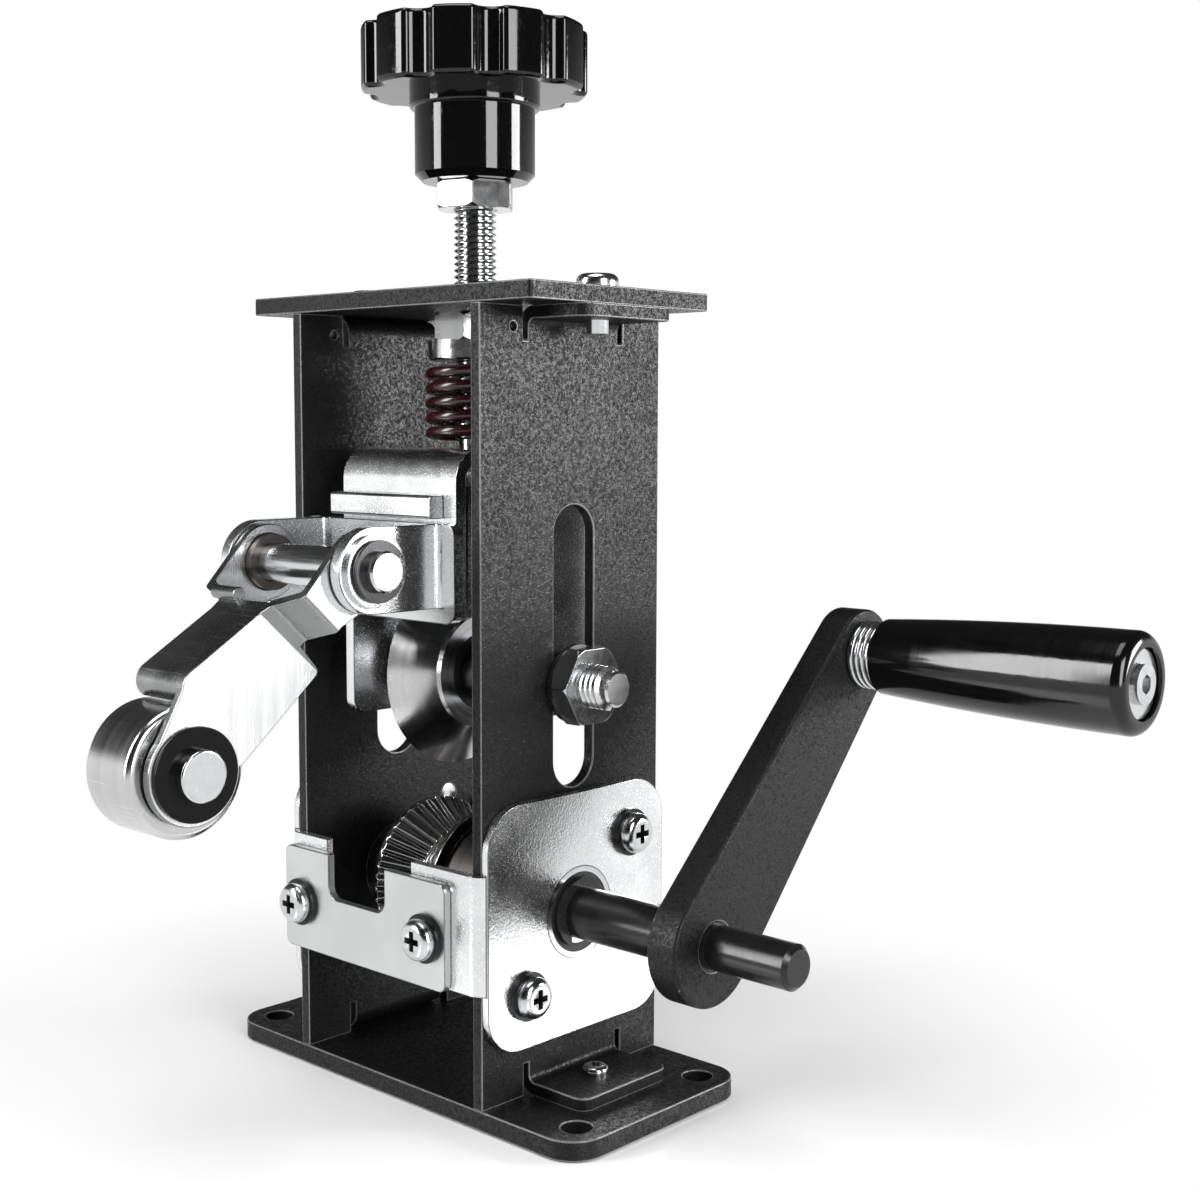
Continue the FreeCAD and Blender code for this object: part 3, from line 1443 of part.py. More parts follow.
# ---------------------------------------------------------------- all pieces
def make_all():
    nodes = {}
    nodes["base_plate"] = make_base_plate()
    nodes["side_plate_right"] = make_side_plate_right()
    nodes["side_plate_left"] = mirror_x(nodes["side_plate_right"])
    nodes["top_plate"] = make_lid()
    nodes["foot_screws"] = screws_facing_up(foot_screw(), deck + side_thick)
    nodes["top_plate_screws"] = screws_facing_up(pan_screw(lid_screw_length), lid_top)
    nodes["captive_nut"] = make_captive_nut()
    nodes["spring_seat"] = make_spring_seat()
    nodes["spring"] = make_spring()
    nodes["bearing_bracket_right"] = make_bracket_right()
    nodes["bearing_bracket_left"] = make_bracket_left()
    nodes["bracket_screws"], side_washers = make_side_screws()
    nodes["guide_plate_front"] = make_guide_front()
    nodes["guide_plate_back"] = mirror_y(nodes["guide_plate_front"])
    nodes["guide_plate_screws"], guide_washers = make_guide_screws()
    nodes["screw_washers"] = group([side_washers, guide_washers])

    outer, inner, balls, shields = make_shaft_bearings()
    nodes["shaft_bearing_outer_races"] = outer
    nodes["shaft_bearing_inner_races"] = inner
    nodes["shaft_bearing_balls"] = balls
    nodes["shaft_bearing_shields"] = shields

    nodes["saddle"] = make_saddle()
    nodes["fork"] = make_fork()
    nodes["stop_block"] = make_stop_block()
    nodes["clevis"] = make_clevis()
    nodes["pivot_pin"] = make_pivot_pin()
    nodes["pivot_clips"], nodes["pivot_washers"] = make_pivot_rings()
    nodes["blade_axle"] = make_blade_axle()
    nodes["axle_nuts"] = make_axle_nuts()
    nodes["axle_washers"] = make_axle_washers()
    nodes["axle_spacers"] = make_axle_spacers()

    nodes["cutter_disc"] = make_cutter_disc()
    outer, inner, balls, shields = make_cutter_bearings()
    nodes["cutter_bearing_outer_races"] = outer
    nodes["cutter_bearing_inner_races"] = inner
    nodes["cutter_bearing_balls"] = balls
    nodes["cutter_bearing_shields"] = shields

    nodes["swing_arm"] = make_swing_arm()
    nodes["arm_eye_bushes"] = make_eye_bushes()
    nodes["roller_pin"] = make_roller_pin()
    nodes["roller_washer"], nodes["roller_pin_clip"] = make_roller_pin_rings()
    nodes["guide_roller"] = make_guide_roller()
    nodes["guide_roller_bush"] = make_roller_bush()

    nodes["adjusting_screw"] = make_adjusting_screw()
    nodes["lock_nut"] = make_lock_nut()
    nodes["jam_nut"] = make_jam_nut()
    nodes["knob"] = make_knob()
    nodes["knob_insert"] = make_knob_insert()

    nodes["drive_shaft"] = make_drive_shaft()
    nodes["shaft_retaining_rings"] = make_shaft_rings()
    nodes["drive_roller_left"] = make_drive_roller_left()
    nodes["drive_roller_right"] = make_drive_roller_right()
    nodes["roller_clamp_screws"] = make_clamp_screws()
    nodes["shaft_grub_screws"] = group(make_roller_grubs() + [make_crank_grub()])
    nodes["crank_arm"] = make_crank_arm()
    nodes["handle_spindle"] = make_spindle()
    nodes["spindle_nut"] = make_spindle_nut()
    nodes["ferrule_rings"] = make_ferrule()
    nodes["handle_end_washer"] = make_end_washer()
    nodes["handle_grip"] = make_grip()
    return nodes


for name, shape in make_all().items():
    shape.exportStep("parts/" + name + ".step")
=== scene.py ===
import json
import math

import bpy
from mathutils import Matrix, Vector


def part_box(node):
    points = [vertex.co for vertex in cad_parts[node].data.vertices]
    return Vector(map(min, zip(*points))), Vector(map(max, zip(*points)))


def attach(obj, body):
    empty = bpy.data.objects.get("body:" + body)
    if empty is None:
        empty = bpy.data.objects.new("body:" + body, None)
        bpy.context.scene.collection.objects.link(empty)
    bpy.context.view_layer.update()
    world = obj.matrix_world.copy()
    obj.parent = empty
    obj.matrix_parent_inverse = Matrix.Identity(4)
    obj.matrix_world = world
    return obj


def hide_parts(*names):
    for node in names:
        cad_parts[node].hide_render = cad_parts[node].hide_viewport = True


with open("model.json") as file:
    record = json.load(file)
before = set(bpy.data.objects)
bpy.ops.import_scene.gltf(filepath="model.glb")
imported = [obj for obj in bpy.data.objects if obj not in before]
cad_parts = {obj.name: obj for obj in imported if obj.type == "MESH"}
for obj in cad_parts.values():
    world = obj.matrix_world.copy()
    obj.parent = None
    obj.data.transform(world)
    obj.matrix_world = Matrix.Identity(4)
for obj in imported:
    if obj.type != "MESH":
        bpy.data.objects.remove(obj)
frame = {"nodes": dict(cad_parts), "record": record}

bl_info = {
    "name": "Bench Wire Stripper Finish",
    "version": (1, 0, 0),
    "blender": (4, 5, 0),
    "location": "3D View > Sidebar > Wire Stripper",
    "description": "Rounds sheet edges, models screws and threads, finishes every piece and sets the stage",
    "category": "Object",
}

MM = 0.001
NEAR = 0.01 * MM  # two heights closer than this are the same
CLEAR = 0.1 * MM  # step that is plainly more than rounding in the mesh
WELD = 0.002 * MM  # corners closer than this are one corner
FLAT_TURN = math.radians(0.4)  # faces that turn less than this are one flat face
SHARP_TURN = math.radians(35)  # edges that turn more than this are rounded
RIM_TURN = math.radians(40)  # the same on the pan screws
SHEET_SMOOTH = math.radians(40)  # smooth shading up to this turn, on sheets and nuts
SCREW_SMOOTH = math.radians(30)  # the same on the pan screws
THREAD_SMOOTH = math.radians(32)  # the same on threaded rods
FACING = 0.9  # share of a normal along an axis that counts as facing it
BROAD_SIDE = 0.97  # the same for the swing arm's two broad sides
ROUNDING_STEPS = 2
HEAD_SIDES = 56
HEAD_STEPS = 7
BAR_SIDES = 64
THREAD_STEPS = 32
THREAD_FOOT = 0.46  # half the ridge's width at its foot, as a share of the pitch
THREAD_CREST = 0.05  # the same at its crest
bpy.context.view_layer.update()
record = frame["record"]
body_of = {node: body for body, nodes in record["behaviour"]["bodies"].items() for node in nodes}


# ------------------------------------------------------------------ settings
def length(name, text, millimetres):
    return bpy.props.FloatProperty(name=name, description=text, default=millimetres * MM,
                                   min=0.0, subtype="DISTANCE", unit="LENGTH", precision=5)


def colour(name, text, value):
    return bpy.props.FloatVectorProperty(name=name, description=text, default=value,
                                         size=3, min=0.0, max=1.0, subtype="COLOR")


def share(name, text, value):
    return bpy.props.FloatProperty(name=name, description=text, default=value,
                                   min=0.0, max=1.0, subtype="FACTOR")


def angle(name, text, degrees):
    return bpy.props.FloatProperty(name=name, description=text, default=math.radians(degrees),
                                   subtype="ANGLE")


def power(name, text, watts):
    return bpy.props.FloatProperty(name=name, description=text, default=watts, min=0.0,
                                   subtype="POWER", unit="POWER")


class StripperSizes(bpy.types.PropertyGroup):
    """Sizes of the edges and screws that are modelled here."""
    plate_edge: length("Plate edge", "Rounding on the powder coated plates' edges", 0.32)
    sheet_edge: length("Sheet edge", "Rounding on the plated sheet's edges", 0.25)
    # The rounding on the roller's teeth takes a bright steel finish, a painted highlight.
    tooth_edge: length("Tooth edge", "Rounding on the drive roller's teeth, which carries a painted highlight", 0.16)
    small_edge: length("Small edge", "Rounding on pins, washers and clips", 0.2)
    head_radius: length("Head radius", "Pan screw head", 4.75)
    head_height: length("Head height", "Pan screw head", 3.2)
    head_round: length("Head rounding", "Rounding of the pan head's rim", 1.9)
    shank_radius: length("Shank radius", "Pan screw shank", 2.5)
    recess_length: length("Recess length", "Cross recess, tip to tip", 5.4)
    recess_width: length("Recess width", "Width of one wing of the cross recess", 1.45)
    recess_depth: length("Recess depth", "Depth of the cross recess", 2.1)
    recess_taper: share("Recess taper", "Size of the recess floor against its mouth", 0.5)
    bracket_screw: length("Bracket screw", "Length under the head", 6.0)
    guide_screw: length("Guide plate screw", "Length under the head", 7.5)
    foot_scale: bpy.props.FloatProperty(name="Foot screw scale", default=0.64, min=0.1, precision=2,
                                        description="Size of the foot screws against the pan screws")
    thread_pitch: length("Thread pitch", "Pitch of the adjusting screw and the axle ends", 1.5)
    thread_depth: length("Thread depth", "Crest to root", 0.915)
    thread_runout: length("Thread run-out", "Plain length between the thread and the rod's end", 0.9)
    rim_edge: length("Recess rim", "Rounding of the screws' sharp rims", 0.12)
    screw_chamfer: length("Screw chamfer", "Turned-down ends of the adjusting screw", 0.3)
    axle_chamfer: length("Axle chamfer", "Turned-down ends of the axle's threads", 0.5)
    shoulder_chamfer: length("Shoulder chamfer", "Turned-down ends of the axle's plain part", 0.2)


class StripperColours(bpy.types.PropertyGroup):
    """Colours of the finishes."""
    powder: colour("Powder coat", "Black powder coat on plates and crank", (0.0060, 0.0060, 0.0064))
    # The plates' rounded edges take a coat lighter than the powder: a painted highlight along the edges.
    powder_edge: colour("Coated edge", "Powder coat on the rounded edges, lighter as a painted highlight", (0.13, 0.13, 0.133))
    zinc: colour("Zinc plate", "Bright plated sheet", (0.80, 0.81, 0.82))
    # The rounded edges of plated pieces are painted darker than their faces, a painted shade that draws dark
    # outlines.
    sheared: colour("Outline edge", "Plated sheet's rounded edges, darker than its faces as painted outline shade", (0.26, 0.265, 0.27))
    satin: colour("Satin plate", "Satin plated guide plates", (0.56, 0.585, 0.575))
    bright: colour("Bright screw", "Bright plated fasteners", (0.64, 0.65, 0.66))
    dark: colour("Dark screw", "Black oxide fasteners and clips", (0.022, 0.022, 0.024))
    axle: colour("Axle steel", "Plain steel of the blade axle", (0.66, 0.665, 0.67))
    thread: colour("Thread steel", "Plain steel with cut threads", (0.46, 0.465, 0.47))
    blade: colour("Blade steel", "Ground steel of the cutter and the guide roller", (0.60, 0.60, 0.605))
    roller: colour("Roller steel", "Turned steel of the grooved roller", (0.150, 0.138, 0.130))
    # Darker copy of the zinc for the arm's web and bends: painted shade.
    folded: colour("Shaded satin", "Plating on the arm's web and bends, darker as a painted shade", (0.30, 0.31, 0.305))
    shaft: colour("Shaft", "Black oxide shaft", (0.012, 0.012, 0.013))
    bearing: colour("Bearing steel", "Ground bearing rings and balls", (0.66, 0.67, 0.69))
    shield: colour("Bearing shield", "Black bearing shields", (0.016, 0.016, 0.017))
    spring: colour("Spring wire", "Dark red-brown varnished wire", (0.034, 0.006, 0.008))
    plastic: colour("Moulding", "Glossy black knob and grip", (0.0025, 0.0025, 0.0028))
    bronze: colour("Bush bronze", "Sintered bronze bushes", (0.50, 0.33, 0.16))
    nylon: colour("Nylon", "Black nylon washer", (0.005, 0.005, 0.005))
    floor: colour("Floor", "Pale floor near the base", (0.86, 0.86, 0.86))


class StripperStage(bpy.types.PropertyGroup):
    """Camera, lamps and floor."""
    view_azimuth: angle("Azimuth", "Camera's turn from the front towards the crank side", 42.606)
    view_elevation: angle("Elevation", "Camera's height above level", 5.535)
    view_roll: angle("Roll", "Camera's tilt about its own axis", 0.181)
    view_distance: length("Distance", "Camera to the point it looks at", 416.447)
    aim_right: length("Aim right", "How far right of the axis the camera looks", 29.475)
    aim_height: length("Aim height", "Height the camera looks at", 115.478)
    lens: bpy.props.FloatProperty(name="Lens", description="Focal length in millimetres",
                                  default=52.27, subtype="DISTANCE_CAMERA", unit="CAMERA")
    room_light: share("Room light", "Level of the plain light from all round", 0.45)
    left_power: power("Left lamp", "Tall soft lamp at the front left", 7.0)
    right_power: power("Right lamp", "Tall soft lamp to the right of the camera", 8.0)
    dim_side: share("Dim side", "Level of the room behind the camera, as metal mirrors it", 0.06)
    side_power: power("Side lamp", "Soft lamp on the crank side, behind", 7.0)
    top_power: power("Top lamp", "Soft lamp straight above", 3.0)
    floor_fade_start: length("Fade start", "Distance at which the floor starts to turn white", 75.0)
    floor_fade_end: length("Fade end", "Distance at which the floor is plain white", 185.0)
    floor_drop: length("Floor drop", "How far the floor lies under the base", 0.3)


# ------------------------------------------------------------------ mesh tools
def pick_nothing():
    if bpy.context.object and bpy.context.object.mode != "OBJECT":
        bpy.ops.object.mode_set(mode="OBJECT")
    bpy.ops.object.select_all(action="DESELECT")


def work_on(piece):
    pick_nothing()
    piece.select_set(True)
    bpy.context.view_layer.objects.active = piece


def enter_edit():
    bpy.ops.object.mode_set(mode="EDIT")


def leave_edit():
    bpy.ops.object.mode_set(mode="OBJECT")


def drop_picks(kind):
    """Sets the kind of element that is picked and leaves none of them picked."""
    enter_edit()
    bpy.ops.mesh.select_mode(type=kind)
    bpy.ops.mesh.select_all(action="DESELECT")
    leave_edit()


def pick_faces(piece, test):
    """Enters edit mode with only the faces that the test picks selected."""
    drop_picks("FACE")
    for face in piece.data.polygons:
        face.select = test(face)
    enter_edit()


def pick_edges(piece, test):
    """The same for edges; the test is given the places of an edge's two ends."""
    drop_picks("EDGE")
    points = piece.data.vertices
    for edge in piece.data.edges:
        edge.select = test(*(points[index].co for index in edge.vertices))
    enter_edit()


def keep_modifier(piece, modifier):
    work_on(piece)
    bpy.ops.object.modifier_apply(modifier=modifier.name)


def join_pieces(pieces, name):
    work_on(pieces[0])
    for piece in pieces:
        piece.select_set(True)
    bpy.ops.object.join()
    whole = bpy.context.object
    whole.name = name
    return whole


def flats_first(piece):
    """Lets the large flat faces set the shading, so that only the roundings turn the light."""
    shading = piece.modifiers.new("flats first", "WEIGHTED_NORMAL")
    shading.mode = "FACE_AREA"
    shading.weight = 100
    shading.keep_sharp = True
    keep_modifier(piece, shading)


def settle(piece, node, material=None):
    """Puts a finished piece in its node's place, on that node's body."""
    if material:
        piece.data.materials.clear()
        piece.data.materials.append(material)
    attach(piece, body_of[node])
    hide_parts(node)
    return piece


def rounded_copy(node, radius, materials):
    """Copy of a piece with every sharp edge rounded; the rounding takes the second material."""
    piece = bpy.data.objects.new(node + "_rounded", frame["nodes"][node].data.copy())
    bpy.context.scene.collection.objects.link(piece)
    work_on(piece)
    if piece.data.has_custom_normals:
        bpy.ops.mesh.customdata_custom_splitnormals_clear()
    piece.data.materials.clear()
    for material in materials:
        piece.data.materials.append(material)
    enter_edit()
    bpy.ops.mesh.select_all(action="SELECT")
    bpy.ops.mesh.remove_doubles(threshold=WELD)
    bpy.ops.mesh.dissolve_limited(angle_limit=FLAT_TURN)
    leave_edit()
    for face in piece.data.polygons:
        face.material_index = 0
    rounding = piece.modifiers.new("edge rounding", "BEVEL")
    rounding.width = radius
    rounding.segments = ROUNDING_STEPS
    rounding.limit_method = "ANGLE"
    rounding.angle_limit = SHARP_TURN
    rounding.material = 1
    rounding.use_clamp_overlap = False
    keep_modifier(piece, rounding)
    bpy.ops.object.shade_smooth_by_angle(angle=SHEET_SMOOTH)
    flats_first(piece)
    return settle(piece, node)


# ------------------------------------------------------------------ shared shader effects
# Parts of a noise's range over which each mark goes from none to full.
SPECK_RANGE = (0.56, 0.70)
TONE_RANGE = (0.36, 0.64)
CLOUD_RANGE = (0.35, 0.68)
SCRATCH_RANGE = (0.69, 0.74)


def effect(name, inputs, outputs):
    """Empty shader group with the named inputs and outputs."""
    tree = bpy.data.node_groups.new(name, "ShaderNodeTree")
    for label, kind, value in inputs:
        socket = tree.interface.new_socket(name=label, in_out="INPUT", socket_type=kind)
        if value is not None:
            socket.default_value = value
    for label in outputs:
        tree.interface.new_socket(name=label, in_out="OUTPUT", socket_type="NodeSocketFloat")
    start = tree.nodes.new("NodeGroupInput")
    end = tree.nodes.new("NodeGroupOutput")
    return tree, start, end


def noise(tree, vector, scale, detail, roughness):
    node = tree.nodes.new("ShaderNodeTexNoise")
    node.inputs["Detail"].default_value = detail
    node.inputs["Roughness"].default_value = roughness
    tree.links.new(vector, node.inputs["Vector"])
    if isinstance(scale, float):
        node.inputs["Scale"].default_value = scale
    else:
        tree.links.new(scale, node.inputs["Scale"])
    return node.outputs["Fac"]


def spread(tree, value, low, high, out_low=0.0, out_high=1.0):
    """Stretches the part of a value between low and high over the range given."""
    node = tree.nodes.new("ShaderNodeMapRange")
    node.interpolation_type = "SMOOTHSTEP"
    tree.links.new(value, node.inputs["Value"])
    for label, number in (("From Min", low), ("From Max", high), ("To Min", out_low), ("To Max", out_high)):
        node.inputs[label].default_value = number
    return node.outputs["Result"]


def sums(tree, operation, first, second=None):
    node = tree.nodes.new("ShaderNodeMath")
    node.operation = operation
    for socket, value in zip(node.inputs, (first, second)):
        if value is None:
            continue
        if isinstance(value, (int, float)):
            socket.default_value = value
        else:
            tree.links.new(value, socket)
    return node.outputs["Value"]


def weighed(tree, first, second, second_share):
    """Sum of two values in which the second has the share given and the first has the rest."""
    first_part = sums(tree, "MULTIPLY", first, 1.0 - second_share)
    return sums(tree, "ADD", first_part, sums(tree, "MULTIPLY", second, second_share))


def make_grain_effect():
    """Fine cast-like grain of powder coat and moulded or plated skin, with sparse specks."""
    tree, start, end = effect("Fine Grain", [
        ("Vector", "NodeSocketVector", None), ("Scale", "NodeSocketFloat", 2500.0),
    ], ["Height", "Speck"])
    fine = noise(tree, start.outputs["Vector"], start.outputs["Scale"], 2.0, 0.55)
    coarse_scale = sums(tree, "MULTIPLY", start.outputs["Scale"], 0.42)
    coarse = noise(tree, start.outputs["Vector"], coarse_scale, 1.0, 0.5)
    tree.links.new(weighed(tree, fine, coarse, 0.35), end.inputs["Height"])
    tree.links.new(spread(tree, fine, *SPECK_RANGE), end.inputs["Speck"])
    return tree


def make_streak_effect():
    """Fine straight rubbing lines; the vector given is already stretched along them."""
    tree, start, end = effect("Rubbed Lines", [
        ("Vector", "NodeSocketVector", None),
    ], ["Height", "Tone"])
    fine = noise(tree, start.outputs["Vector"], 1.0, 3.0, 0.65)
    broad = noise(tree, start.outputs["Vector"], 0.18, 1.0, 0.5)
    tree.links.new(fine, end.inputs["Height"])
    tree.links.new(spread(tree, weighed(tree, fine, broad, 0.4), *TONE_RANGE), end.inputs["Tone"])
    return tree


def make_turned_effect():
    """Rings left by turning about the X axis; the vector is measured from the piece's centre."""
    tree, start, end = effect("Turned Rings", [
        ("Vector", "NodeSocketVector", None), ("Scale", "NodeSocketFloat", 3000.0),
    ], ["Height", "Tone"])
    split = tree.nodes.new("ShaderNodeSeparateXYZ")
    tree.links.new(start.outputs["Vector"], split.inputs["Vector"])
    across = sums(tree, "MULTIPLY", split.outputs["Y"], split.outputs["Y"])
    upward = sums(tree, "MULTIPLY", split.outputs["Z"], split.outputs["Z"])
    radius = sums(tree, "SQRT", sums(tree, "ADD", across, upward))
    place = tree.nodes.new("ShaderNodeCombineXYZ")
    tree.links.new(split.outputs["X"], place.inputs["X"])
    tree.links.new(radius, place.inputs["Y"])
    rings = noise(tree, place.outputs["Vector"], start.outputs["Scale"], 2.0, 0.6)
    broad_scale = sums(tree, "MULTIPLY", start.outputs["Scale"], 0.16)
    broad = noise(tree, place.outputs["Vector"], broad_scale, 1.0, 0.5)
    tree.links.new(rings, end.inputs["Height"])
    tree.links.new(spread(tree, weighed(tree, rings, broad, 0.45), *TONE_RANGE), end.inputs["Tone"])
    return tree


def make_handling_effect():
    """Faint cloudy marks from oil and hands, and a few hair scratches."""
    tree, start, end = effect("Handling Marks", [
        ("Vector", "NodeSocketVector", None),
    ], ["Cloud", "Scratch"])
    cloud = noise(tree, start.outputs["Vector"], 62.0, 3.0, 0.6)
    tree.links.new(spread(tree, cloud, *CLOUD_RANGE), end.inputs["Cloud"])
    turn = tree.nodes.new("ShaderNodeMapping")
    turn.inputs["Rotation"].default_value = (0.5, 0.9, 0.35)
    turn.inputs["Scale"].default_value = (60.0, 2200.0, 2200.0)
    tree.links.new(start.outputs["Vector"], turn.inputs["Vector"])
    hair = noise(tree, turn.outputs["Vector"], 1.0, 1.0, 0.4)
    tree.links.new(spread(tree, hair, *SCRATCH_RANGE), end.inputs["Scratch"])
    return tree


EFFECTS = {}


def effect_named(name, maker):
    if name not in EFFECTS:
        EFFECTS[name] = maker()
    return EFFECTS[name]


# ------------------------------------------------------------------ finishes
class Finish:
    """One material: a Principled shader fed by the shared effects."""

    def __init__(self, name, metallic=0.0, specular=0.5, coat=0.0, coat_roughness=0.05):
        self.material = bpy.data.materials.new(name)
        self.material.use_nodes = True
        self.tree = self.material.node_tree
        self.shader = next(node for node in self.tree.nodes if node.type == "BSDF_PRINCIPLED")
        self.shader.inputs["Metallic"].default_value = metallic
        self.shader.inputs["Specular IOR Level"].default_value = specular
        self.shader.inputs["Coat Weight"].default_value = coat
        self.shader.inputs["Coat Roughness"].default_value = coat_roughness
        place = self.tree.nodes.new("ShaderNodeTexCoord")
        self.place = place.outputs["Object"]
        self.heights = []

    def mapped(self, move=(0, 0, 0), turn=(0, 0, 0), scale=(1, 1, 1)):
        node = self.tree.nodes.new("ShaderNodeMapping")
        node.vector_type = "POINT"
        node.inputs["Location"].default_value = move
        node.inputs["Rotation"].default_value = turn
        node.inputs["Scale"].default_value = scale
        self.tree.links.new(self.place, node.inputs["Vector"])
        return node.outputs["Vector"]

    def group(self, name, maker, vector, scale=None):
        node = self.tree.nodes.new("ShaderNodeGroup")
        node.node_tree = effect_named(name, maker)
        self.tree.links.new(vector, node.inputs["Vector"])
        if scale:
            node.inputs["Scale"].default_value = scale
        return node.outputs

    def blend(self, factor, first, second):
        node = self.tree.nodes.new("ShaderNodeMix")
        node.data_type = "RGBA"
        self.tree.links.new(factor, node.inputs["Factor"])
        for socket, value in ((node.inputs[6], first), (node.inputs[7], second)):
            if isinstance(value, tuple):
                socket.default_value = (*value, 1.0)
            else:
                self.tree.links.new(value, socket)
        return node.outputs[2]

    def add_height(self, value, depth):
        """Adds a bump layer; depth is in millimetres."""
        node = self.tree.nodes.new("ShaderNodeBump")
        node.inputs["Distance"].default_value = depth * MM
        self.tree.links.new(value, node.inputs["Height"])
        if self.heights:
            self.tree.links.new(self.heights[-1], node.inputs["Normal"])
        self.heights.append(node.outputs["Normal"])

    def done(self, colour_socket, roughness_socket):
        self.tree.links.new(colour_socket, self.shader.inputs["Base Color"])
        self.tree.links.new(roughness_socket, self.shader.inputs["Roughness"])
        if self.heights:
            self.tree.links.new(self.heights[-1], self.shader.inputs["Normal"])
        return self.material


def tint(base, factor):
    return tuple(min(1.0, channel * factor) for channel in base)


SPECK_ROUGH = 0.08  # how much rougher each mark is than the surface round it
SCRATCH_ROUGH = 0.10
LINE_ROUGH = 0.06
RING_ROUGH = 0.05
HOLLOW_RANGE = (0.34, 0.62)  # heights of the grain at which a hollow is full and gone
# Share of the colour left in the grain's hollows: a painted shade.
HOLLOW_SHADE_TINT = 0.1
RUBBED_GRAIN = 2600.0


def grained(name, base, rough, grain_scale, grain_depth, speck_tint, cloud_tint, hollow_rough=0.0, **shader):
    """Powder coat, plated sheet or moulded skin with a fine grain all over.

    hollow_rough is how much rougher the hollows of a deep grain are than its peaks. They are painted darker
    too, a painted shade in the hollows.
    """
    finish = Finish(name, **shader)
    grain = finish.group("Fine Grain", make_grain_effect, finish.place, grain_scale)
    marks = finish.group("Handling Marks", make_handling_effect, finish.place)
    shade = finish.blend(marks["Cloud"], tint(base, cloud_tint), tuple(base))
    shade = finish.blend(grain["Speck"], shade, tint(base, speck_tint))
    low, high = rough
    roughness = spread(finish.tree, marks["Cloud"], 0.0, 1.0, low, high)
    specked = sums(finish.tree, "MULTIPLY", grain["Speck"], SPECK_ROUGH)
    scratched = sums(finish.tree, "MULTIPLY", marks["Scratch"], SCRATCH_ROUGH)
    roughness = sums(finish.tree, "ADD", roughness, sums(finish.tree, "ADD", specked, scratched))
    if hollow_rough:
        hollow = spread(finish.tree, grain["Height"], *HOLLOW_RANGE, 1.0, 0.0)
        # Painted shade: the hollows of the grain are darkened.
        shade = finish.blend(hollow, shade, tint(base, HOLLOW_SHADE_TINT))
        roughness = sums(finish.tree, "ADD", roughness, sums(finish.tree, "MULTIPLY", hollow, hollow_rough))
    finish.add_height(grain["Height"], grain_depth)
    return finish.done(shade, roughness)


def rubbed(name, base, rough, along, line_depth, dark_tint, grain_depth=0.0, turn=(0, 0, 0)):
    """Plated or plain steel with fine lines; along is how the pattern is squeezed on each axis."""
    finish = Finish(name, metallic=1.0)
    lines = finish.group("Rubbed Lines", make_streak_effect, finish.mapped(turn=turn, scale=along))
    marks = finish.group("Handling Marks", make_handling_effect, finish.place)
    shade = finish.blend(lines["Tone"], tint(base, dark_tint), tuple(base))
    shade = finish.blend(marks["Scratch"], shade, tint(base, 1.15))
    low, high = rough
    roughness = spread(finish.tree, marks["Cloud"], 0.0, 1.0, low, high)
    roughness = sums(finish.tree, "ADD", roughness, sums(finish.tree, "MULTIPLY", lines["Tone"], LINE_ROUGH))
    finish.add_height(lines["Height"], line_depth)
    if grain_depth:
        grain = finish.group("Fine Grain", make_grain_effect, finish.place, RUBBED_GRAIN)
        finish.add_height(grain["Height"], grain_depth)
    return finish.done(shade, roughness)


def middle_of(node):
    low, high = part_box(node)
    return (low + high) / 2


def turned(name, base, rough, middle, ring_depth, dark_tint, ring_scale=3200.0, metallic=1.0, **shader):
    """Steel or moulding turned about the X axis through the middle of the node named."""
    finish = Finish(name, metallic=metallic, **shader)
    from_centre = finish.mapped(move=tuple(-value for value in middle_of(middle)))
    rings = finish.group("Turned Rings", make_turned_effect, from_centre, ring_scale)
    marks = finish.group("Handling Marks", make_handling_effect, finish.place)
    shade = finish.blend(rings["Tone"], tint(base, dark_tint), tuple(base))
    shade = finish.blend(marks["Scratch"], shade, tint(base, 1.2))
    low, high = rough
    roughness = spread(finish.tree, marks["Cloud"], 0.0, 1.0, low, high)
    roughness = sums(finish.tree, "ADD", roughness, sums(finish.tree, "MULTIPLY", rings["Tone"], RING_ROUGH))
    finish.add_height(rings["Height"], ring_depth)
    return finish.done(shade, roughness)


CLOSE_SQUEEZE = 2600.0  # lines are close together where the pattern is squeezed this much
LONG_SQUEEZE = 110.0  # and run long where it is squeezed this little
ACROSS_X = (LONG_SQUEEZE, CLOSE_SQUEEZE, CLOSE_SQUEEZE)
ACROSS_Y = (CLOSE_SQUEEZE, LONG_SQUEEZE, CLOSE_SQUEEZE)
UPRIGHT = (CLOSE_SQUEEZE, CLOSE_SQUEEZE, LONG_SQUEEZE)
ALONG_ARM = (CLOSE_SQUEEZE, CLOSE_SQUEEZE, 90.0)
ARM_SLANT = (math.radians(42.9), 0, 0)

